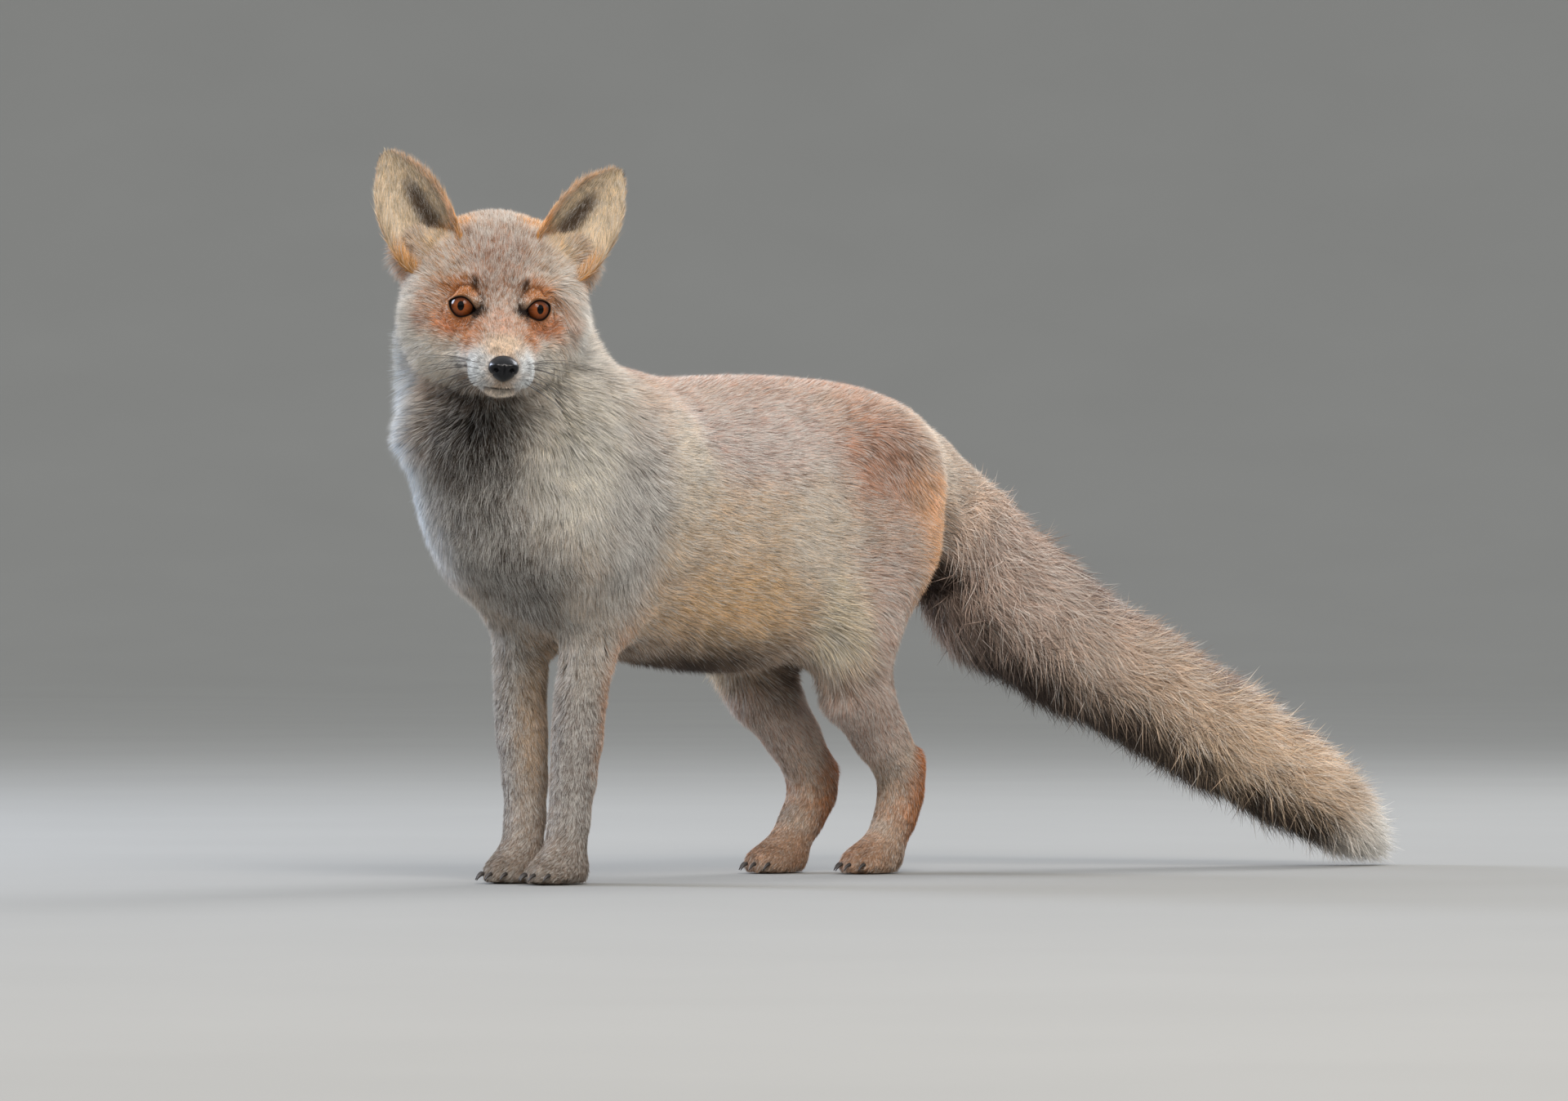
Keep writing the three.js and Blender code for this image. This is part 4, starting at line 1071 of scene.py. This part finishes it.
def nose():
    """The nose leather: broad above, narrower below, with two comma-shaped nostrils and a groove between."""
    unit_points, _, _, tris = ball(72, 96)
    x, z, y = unit_points[:, 0], unit_points[:, 1], -unit_points[:, 2]
    width = NOSE_SIZE[0] * (1 + 0.06 * z - 0.26 * np.clip(-z, 0, 1) ** 1.5)
    p = np.stack([x * width, y * NOSE_SIZE[1], z * NOSE_SIZE[2]], 1)
    front = smoothstep(0.2, -0.4, y)
    p[:, 1] += front * 1.2 * smoothstep(0.2, 1.0, z) * NOSE_SIZE[1] * 0.25
    away = np.abs(p[:, 0])
    pit = 3.6 * np.exp(-(((away - 5.6) / 1.9) ** 2) - ((p[:, 2] + 1.2) / 1.7) ** 2)
    slit = 2.4 * np.exp(-(((away - 8.2) / 2.4) ** 2) - ((p[:, 2] + 3.0 + 0.15 * away) / 0.9) ** 2)
    groove = 0.8 * np.exp(-((p[:, 0] / 0.55) ** 2)) * smoothstep(4, -1, p[:, 2])
    wing = 0.9 * np.exp(-(((away - 6.6) / 2.2) ** 2) - ((p[:, 2] - 2.6) / 1.9) ** 2)
    p[:, 1] += front * (pit + slit + groove - wing)
    return welded(make_mesh("nose_pad", from_head(p + NOSE_AT), tris))


def tubes(name, paths, radii, sides):
    """Tapering tubes along paths of points, joined as one mesh."""
    all_points, all_tris = [], []
    start = 0
    for path, thick in zip(paths, radii):
        path = np.asarray(path, float)
        steps = len(path)
        heading = unit(np.gradient(path, axis=0))
        side = unit(np.cross(heading, [0.1, 0.2, 1.0]))
        over = np.cross(heading, side)
        angle = np.arange(sides) * 2 * math.pi / sides
        ring = np.cos(angle)[None, :, None] * side[:, None] + np.sin(angle)[None, :, None] * over[:, None]
        all_points.append((path[:, None] + ring * np.asarray(thick)[:, None, None]).reshape(-1, 3))
        all_tris += band(steps - 1, sides, start)
        last = start + (steps - 1) * sides
        all_tris += [(start, start + j + 1, start + j) for j in range(1, sides - 1)]
        all_tris += [(last, last + j, last + j + 1) for j in range(1, sides - 1)]
        start += steps * sides
    return make_mesh(name, np.vstack(all_points), np.array(all_tris))


def whiskers():
    """Twenty whiskers on each side, in four rows on the upper lip, drooping a little backwards."""
    rng = np.random.default_rng(SEED)
    paths, radii = [], []
    for side in (LEFT, RIGHT):
        for row in range(4):
            for place in range(5):
                root = np.array([side * (13.5 + 1.6 * place), -55 + 5.2 * place, -42 - 3.4 * row + 0.6 * place])
                root = root + rng.normal(size=3) * 0.5
                root = root - gradient(bare_head, root[None])[0] * bare_head(root[None])[0]
                out = np.array([side * (0.9 + 0.1 * rng.random()), 0.25 + 0.16 * place, 0.22 - 0.2 * row])
                out = unit(out + rng.normal(size=3) * 0.07)
                long = rng.uniform(34, 66)
                t = np.linspace(0, 1, 9)[:, None]
                droop = np.array([0, 0.22, -0.30]) * long * t**2 * rng.uniform(0.4, 1.2)
                paths.append(from_head(root + out * long * t + droop))
                radii.append(0.19 * (1 - 0.8 * t[:, 0]))
    return tubes("whiskers", paths, radii, 4)


def claws():
    """Four blunt claws on each paw, just clear of the hair."""
    paths, radii = [], []
    for paws in (FOREPAW, HINDPAW):
        for x, y in paws.values():
            for n in (-1.5, -0.5, 0.5, 1.5):
                start = np.array([x + n * TOE_RADIUS * 0.98, y - (29 if abs(n) < 1 else 22), 7.6])
                t = np.linspace(0, 1, 7)[:, None]
                paths.append(start + np.array([0, -7.4, -1.2]) * t + np.array([0, 0.8, -3.6]) * t**2)
                radii.append(1.6 * (1 - 0.82 * t[:, 0] ** 1.3))
    return tubes("claws", paths, radii, 8)


# ---------------------------------------------------------------- materials


def node(tree, kind, settings=None, **inputs):
    """Adds a node, sets its properties, and fills or links its inputs by name, or by number as in i6."""
    made = tree.nodes.new(kind)
    for key, value in (settings or {}).items():
        setattr(made, key, value)
    for key, value in inputs.items():
        socket = made.inputs[int(key[1:]) if key[1:].isdigit() else key.replace("_", " ")]
        if isinstance(value, bpy.types.NodeSocket):
            tree.links.new(value, socket)
        else:
            socket.default_value = value
    return made


def material(name, **surface):
    """A new material with a Principled surface, and its node tree and shader."""
    made = bpy.data.materials.new(name)
    made.use_nodes = True
    tree = made.node_tree
    tree.nodes.clear()
    shader = node(tree, "ShaderNodeBsdfPrincipled", **surface)
    node(tree, "ShaderNodeOutputMaterial", Surface=shader.outputs[0])
    return made, tree, shader


def rgba(hex_colour):
    return (*linear(hex_colour), 1.0)


def uneven(tree, shader, scale, detail, low, high):
    """Gives the shader the coat's colour, made unevenly dark by a fine noise, and gives back that noise."""
    colour = node(tree, "ShaderNodeAttribute", {"attribute_name": "coat_colour"})
    place = node(tree, "ShaderNodeTexCoord")
    grain = node(tree, "ShaderNodeTexNoise", Vector=place.outputs["Object"], Scale=scale, Detail=detail)
    value = node(tree, "ShaderNodeMapRange", Value=grain.outputs[0], To_Min=low, To_Max=high)
    tint = node(tree, "ShaderNodeVectorMath", {"operation": "SCALE"},
                Vector=colour.outputs["Color"], Scale=value.outputs[0])
    tree.links.new(tint.outputs[0], shader.inputs["Base Color"])
    return grain


def clouded(tree, shader, dark, light, scale, **texture):
    """Gives the shader two colours that run into one another in soft clouds."""
    place = node(tree, "ShaderNodeTexCoord")
    cloud = node(tree, "ShaderNodeTexNoise", Vector=place.outputs["Object"], Scale=scale, **texture)
    shades = node(tree, "ShaderNodeMix", {"data_type": "RGBA"}, Factor=cloud.outputs[0], i6=dark, i7=light)
    tree.links.new(shades.outputs[2], shader.inputs["Base Color"])


def hair():
    """Fox hair: soft, with little gloss, and streaks about 2.4 mm long where the hairs' bands fall."""
    made, tree, shader = material("fox_hair", Roughness=0.62, IOR=1.5, Specular_IOR_Level=0.22)
    uneven(tree, shader, 420.0, 2.0, 0.82, 1.2)
    return made


def hide():
    """Raw skin with dense underfur: dull, with the grain of hair roots, drawn 1.1 mm apart so that it shows."""
    made, tree, shader = material("underfur", Roughness=0.85, IOR=1.45, Specular_IOR_Level=0.1)
    grain = uneven(tree, shader, 900.0, 3.0, 0.45, 1.1)
    bump = node(tree, "ShaderNodeBump", Height=grain.outputs[0], Strength=0.5, Distance=0.0006)
    tree.links.new(bump.outputs[0], shader.inputs["Normal"])
    return made


def nose_leather():
    """A fox's nose: wet black leather in pebbles about 0.7 mm across, glossy on top of each."""
    made, tree, shader = material("nose_leather", Roughness=0.36, IOR=1.42, Specular_IOR_Level=0.25,
                                  Coat_Weight=0.3, Coat_Roughness=0.1)
    clouded(tree, shader, rgba("#060608"), rgba("#131317"), 220.0, Detail=3.0)
    place = node(tree, "ShaderNodeTexCoord")
    pebble = node(tree, "ShaderNodeTexVoronoi", {"feature": "SMOOTH_F1"},
                  Vector=place.outputs["Object"], Scale=1 / (0.7 * MM))
    bump = node(tree, "ShaderNodeBump", {"invert": True}, Height=pebble.outputs[0], Strength=0.35, Distance=0.0003)
    tree.links.new(bump.outputs[0], shader.inputs["Normal"])
    return made


def wet_eye():
    """A living eye: an amber iris under a clear wet cornea."""
    made, tree, shader = material("wet_eye", Roughness=0.12, IOR=1.38, Specular_IOR_Level=0.05,
                                  Coat_Weight=0.75, Coat_Roughness=0.02, Coat_IOR=1.3)
    colour = node(tree, "ShaderNodeAttribute", {"attribute_name": "coat_colour"})
    tree.links.new(colour.outputs["Color"], shader.inputs["Base Color"])
    return made


def horn(name, hex_colour):
    """Keratin: dark, smooth and a little glossy, with faint growth lines about 2 mm apart."""
    made, tree, shader = material(name, Roughness=0.4, IOR=1.54)
    dark = tuple(0.6 * c for c in rgba(hex_colour)[:3]) + (1.0,)
    clouded(tree, shader, dark, rgba(hex_colour), 500.0)
    return made


def plaster():
    """The studio floor: pale matt plaster, clouded over about a third of a metre."""
    made, tree, shader = material("pale_plaster", Roughness=0.9)
    clouded(tree, shader, rgba("#94938f"), rgba("#9a9995"), 3.0)
    return made


# ---------------------------------------------------------------- the making


LID_HAIR_LENGTH, LID_HAIR_DEPTH = 2.3, 0.6
BRUSH_HALVED_AT = 0.42  # of the tail's length, where the upper coat piece ends
SKIN_SHADE = 0.6  # the skin under the coat is this much as bright as the hair over it


def dress():
    """Skin, coat and small parts, each on the body and finished."""
    points, tris, edges, deep, bare, dark = build_skin()
    normals = normals_of(points, tris)
    lie, depth, length, width, tufts, unwrap, coat = lie_of_coat(points)
    depth = relax(np.clip(deep, 0.45 * depth, 1.7 * depth)[:, None], edges, 0.5, 4)[:, 0]
    lie = combed(points, normals, edges, lie)
    h = to_head(points)
    under = smoothstep(-0.35, -0.9, normals[:, 2]) * smoothstep(120, 135, points[:, 2]) * (points[:, 1] < 130)
    depth = depth * (1 + 0.45 * under * (points[:, 1] > -130))
    from_eyes = [np.linalg.norm(h - eye_frame(s)[0], axis=1) for s in (LEFT, RIGHT)]
    near_eye = smoothstep(21, 11.4, np.minimum(*from_eyes))
    length = mix(length, LID_HAIR_LENGTH, near_eye)
    depth = mix(depth, LID_HAIR_DEPTH, near_eye)
    from_eye = sum(unit(h - eye_frame(s)[0]) * (h[:, :1] * s > 0) for s in (LEFT, RIGHT)) @ HEAD_AXES.T
    lie = unit(lie + 1.6 * near_eye[:, None] * flattened(from_eye, normals))
    on_nose = np.linalg.norm((h - NOSE_AT) / (NOSE_SIZE * 0.98), axis=1) < 1
    soles = (normals[:, 2] < -0.6) & (points[:, 2] < 2)
    lips = np.exp(-((mouth_measure(h) / 1.1) ** 2)) * smoothstep(-14, -22, h[:, 1]) * (np.abs(h[:, 0]) < 30)
    tufts = tufts * (bare < 0.5) * ~on_nose * ~soles * (lips < 0.22)
    colour = paint(points, normals)[0] * SKIN_SHADE
    colour = blend(colour, linear("#120e0c"), np.maximum(dark, lips))
    body = dict(points=points, normals=normals, lie=lie, depth=depth, length=length, width=width, tufts=tufts,
                unwrap=unwrap)
    fur = hair()
    shells, faces, shades = [points], [tris], [colour]
    pieces = []
    start = len(points)
    for side in (LEFT, RIGHT):
        ear_tris, ear = ear_coat(side)
        name = "coat_ear_left" if side == LEFT else "coat_ear_right"
        pieces.append((grow(name, "ear", ear, ear_tris, SEED + 20 + side), fur, KINDS["ear"]["slot"]))
        shells.append(ear["points"])
        faces.append(ear_tris + start)
        shades.append(ear["colour"] * SKIN_SHADE)
        start += len(ear["points"])
    skin = make_mesh("skin", np.vstack(shells), np.vstack(faces), colours=np.vstack(shades))
    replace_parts(skin, *FLESH, "ear_left", "ear_right")
    pieces.append((skin, hide(), "frosted_coat"))
    tri_coat = coat[tris[:, 0]]
    middle = points[tris].mean(1)
    for k, kind in enumerate(COATS):
        mine = tri_coat == k
        if kind == "brush":
            along = along_tail(middle)[0]
            halves = {"upper": along < BRUSH_HALVED_AT, "lower": along >= BRUSH_HALVED_AT}
        elif kind == "face":
            halves = {"": mine}
        else:
            halves = {"left": middle[:, 0] >= 0, "right": middle[:, 0] < 0}
        for m, (half, where) in enumerate(halves.items()):
            name = "_".join(filter(None, ["coat", kind, half]))
            piece = grow(name, kind, body, tris[mine & where], SEED + 40 + 10 * k + m)
            pieces.append((piece, fur, KINDS[kind]["slot"]))
    wet = wet_eye()
    for side, name in ((LEFT, "eye_left"), (RIGHT, "eye_right")):
        pieces.append((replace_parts(eye(side), name), wet, "eye_glass"))
    pieces.append((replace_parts(nose(), "nose"), nose_leather(), "nose_leather"))
    pieces.append((whiskers(), horn("whisker_horn", "#2c2622"), "nose_leather"))
    pieces.append((claws(), horn("claw_horn", "#3a322c"), "nose_leather"))
    for piece, finish, slot in pieces:
        piece.data.materials.clear()
        piece.data.materials.append(finish)
        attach(piece, "root")


def studio():
    """A pale bowl of floor that curves up far behind, soft sky light, and four lamps: a broad key, a smaller
    one that the eyes catch, a cool one on the fox's right side and one behind it."""
    profile = [(0, 0), (3000, 0), (9000, 0)]
    profile += [(9000 + 7000 * math.sin(a), 7000 - 7000 * math.cos(a)) for a in np.radians(np.arange(4, 65, 4))]
    sides = 96
    around = np.arange(sides) * 2 * math.pi / sides
    rings = [np.stack([r * np.cos(around), r * np.sin(around), np.full(sides, z)], 1) for r, z in profile[1:]]
    points = np.vstack([[[0, 0, 0]]] + rings) + CENTRE
    tris = [(0, 1 + j, 1 + (j + 1) % sides) for j in range(sides)]
    for i in range(len(rings) - 1):
        for j in range(sides):
            a, b = 1 + i * sides + j, 1 + i * sides + (j + 1) % sides
            tris += [(a, a + sides, b + sides), (a, b + sides, b)]
    floor = make_mesh("floor", points, np.array(tris))
    floor.data.materials.append(plaster())
    world = bpy.data.worlds.new("overcast")
    bpy.context.scene.world = world
    world.use_nodes = True
    background = world.node_tree.nodes["Background"]
    background.inputs["Color"].default_value = rgba("#e8ebee")
    background.inputs["Strength"].default_value = 0.9
    lamps = [
        ("key", (2.6, -2.0, 2.9), 2.0, 88, "#fff6ec"),
        ("catch", (2.7, -2.4, 4.2), 0.9, 34, "#eef4ff"),
        ("rim", (-2.9, -1.3, 1.8), 1.4, 90, "#dce8ff"),
        ("back", (-0.3, 2.6, 2.6), 1.8, 60, "#f6f8ff"),
    ]
    for name, at, size, power, tint in lamps:
        light = bpy.data.lights.new(name, "AREA")
        light.shape = "DISK"
        light.size = size
        light.energy = power
        light.color = linear(tint)
        lamp = bpy.data.objects.new(name, light)
        lamp.location = at
        lamp.rotation_euler = (Vector((0, 0, 0.25)) - Vector(at)).to_track_quat("-Z", "Y").to_euler()
        bpy.context.scene.collection.objects.link(lamp)
    scene = bpy.context.scene
    scene.view_settings.view_transform = "Standard"
    scene.view_settings.look = "None"
    scene.view_settings.exposure = 0.0


VIEW_AZIMUTH = math.radians(43)  # the camera stands to the fox's front left
VIEW_DISTANCE = 7000
VIEW_HEIGHT = 243
VIEW_SHIFT = 64.4  # how far the line of sight passes to the right of the point between the shoulders
LENS = 216.56


def camera():
    across = np.array([math.cos(VIEW_AZIMUTH), math.sin(VIEW_AZIMUTH), 0])
    towards = np.array([math.sin(VIEW_AZIMUTH), -math.cos(VIEW_AZIMUTH), 0])
    place = across * VIEW_SHIFT + towards * VIEW_DISTANCE + np.array([0, 0, VIEW_HEIGHT])
    data = bpy.data.cameras.new("camera")
    data.lens = LENS
    data.sensor_width = 36
    data.clip_end = 200
    made = bpy.data.objects.new("camera", data)
    made.location = Vector((place - CENTRE) * MM)
    made.rotation_euler = Vector(-towards).to_track_quat("-Z", "Y").to_euler()
    bpy.context.scene.collection.objects.link(made)
    bpy.context.scene.camera = made


camera()
studio()
dress()
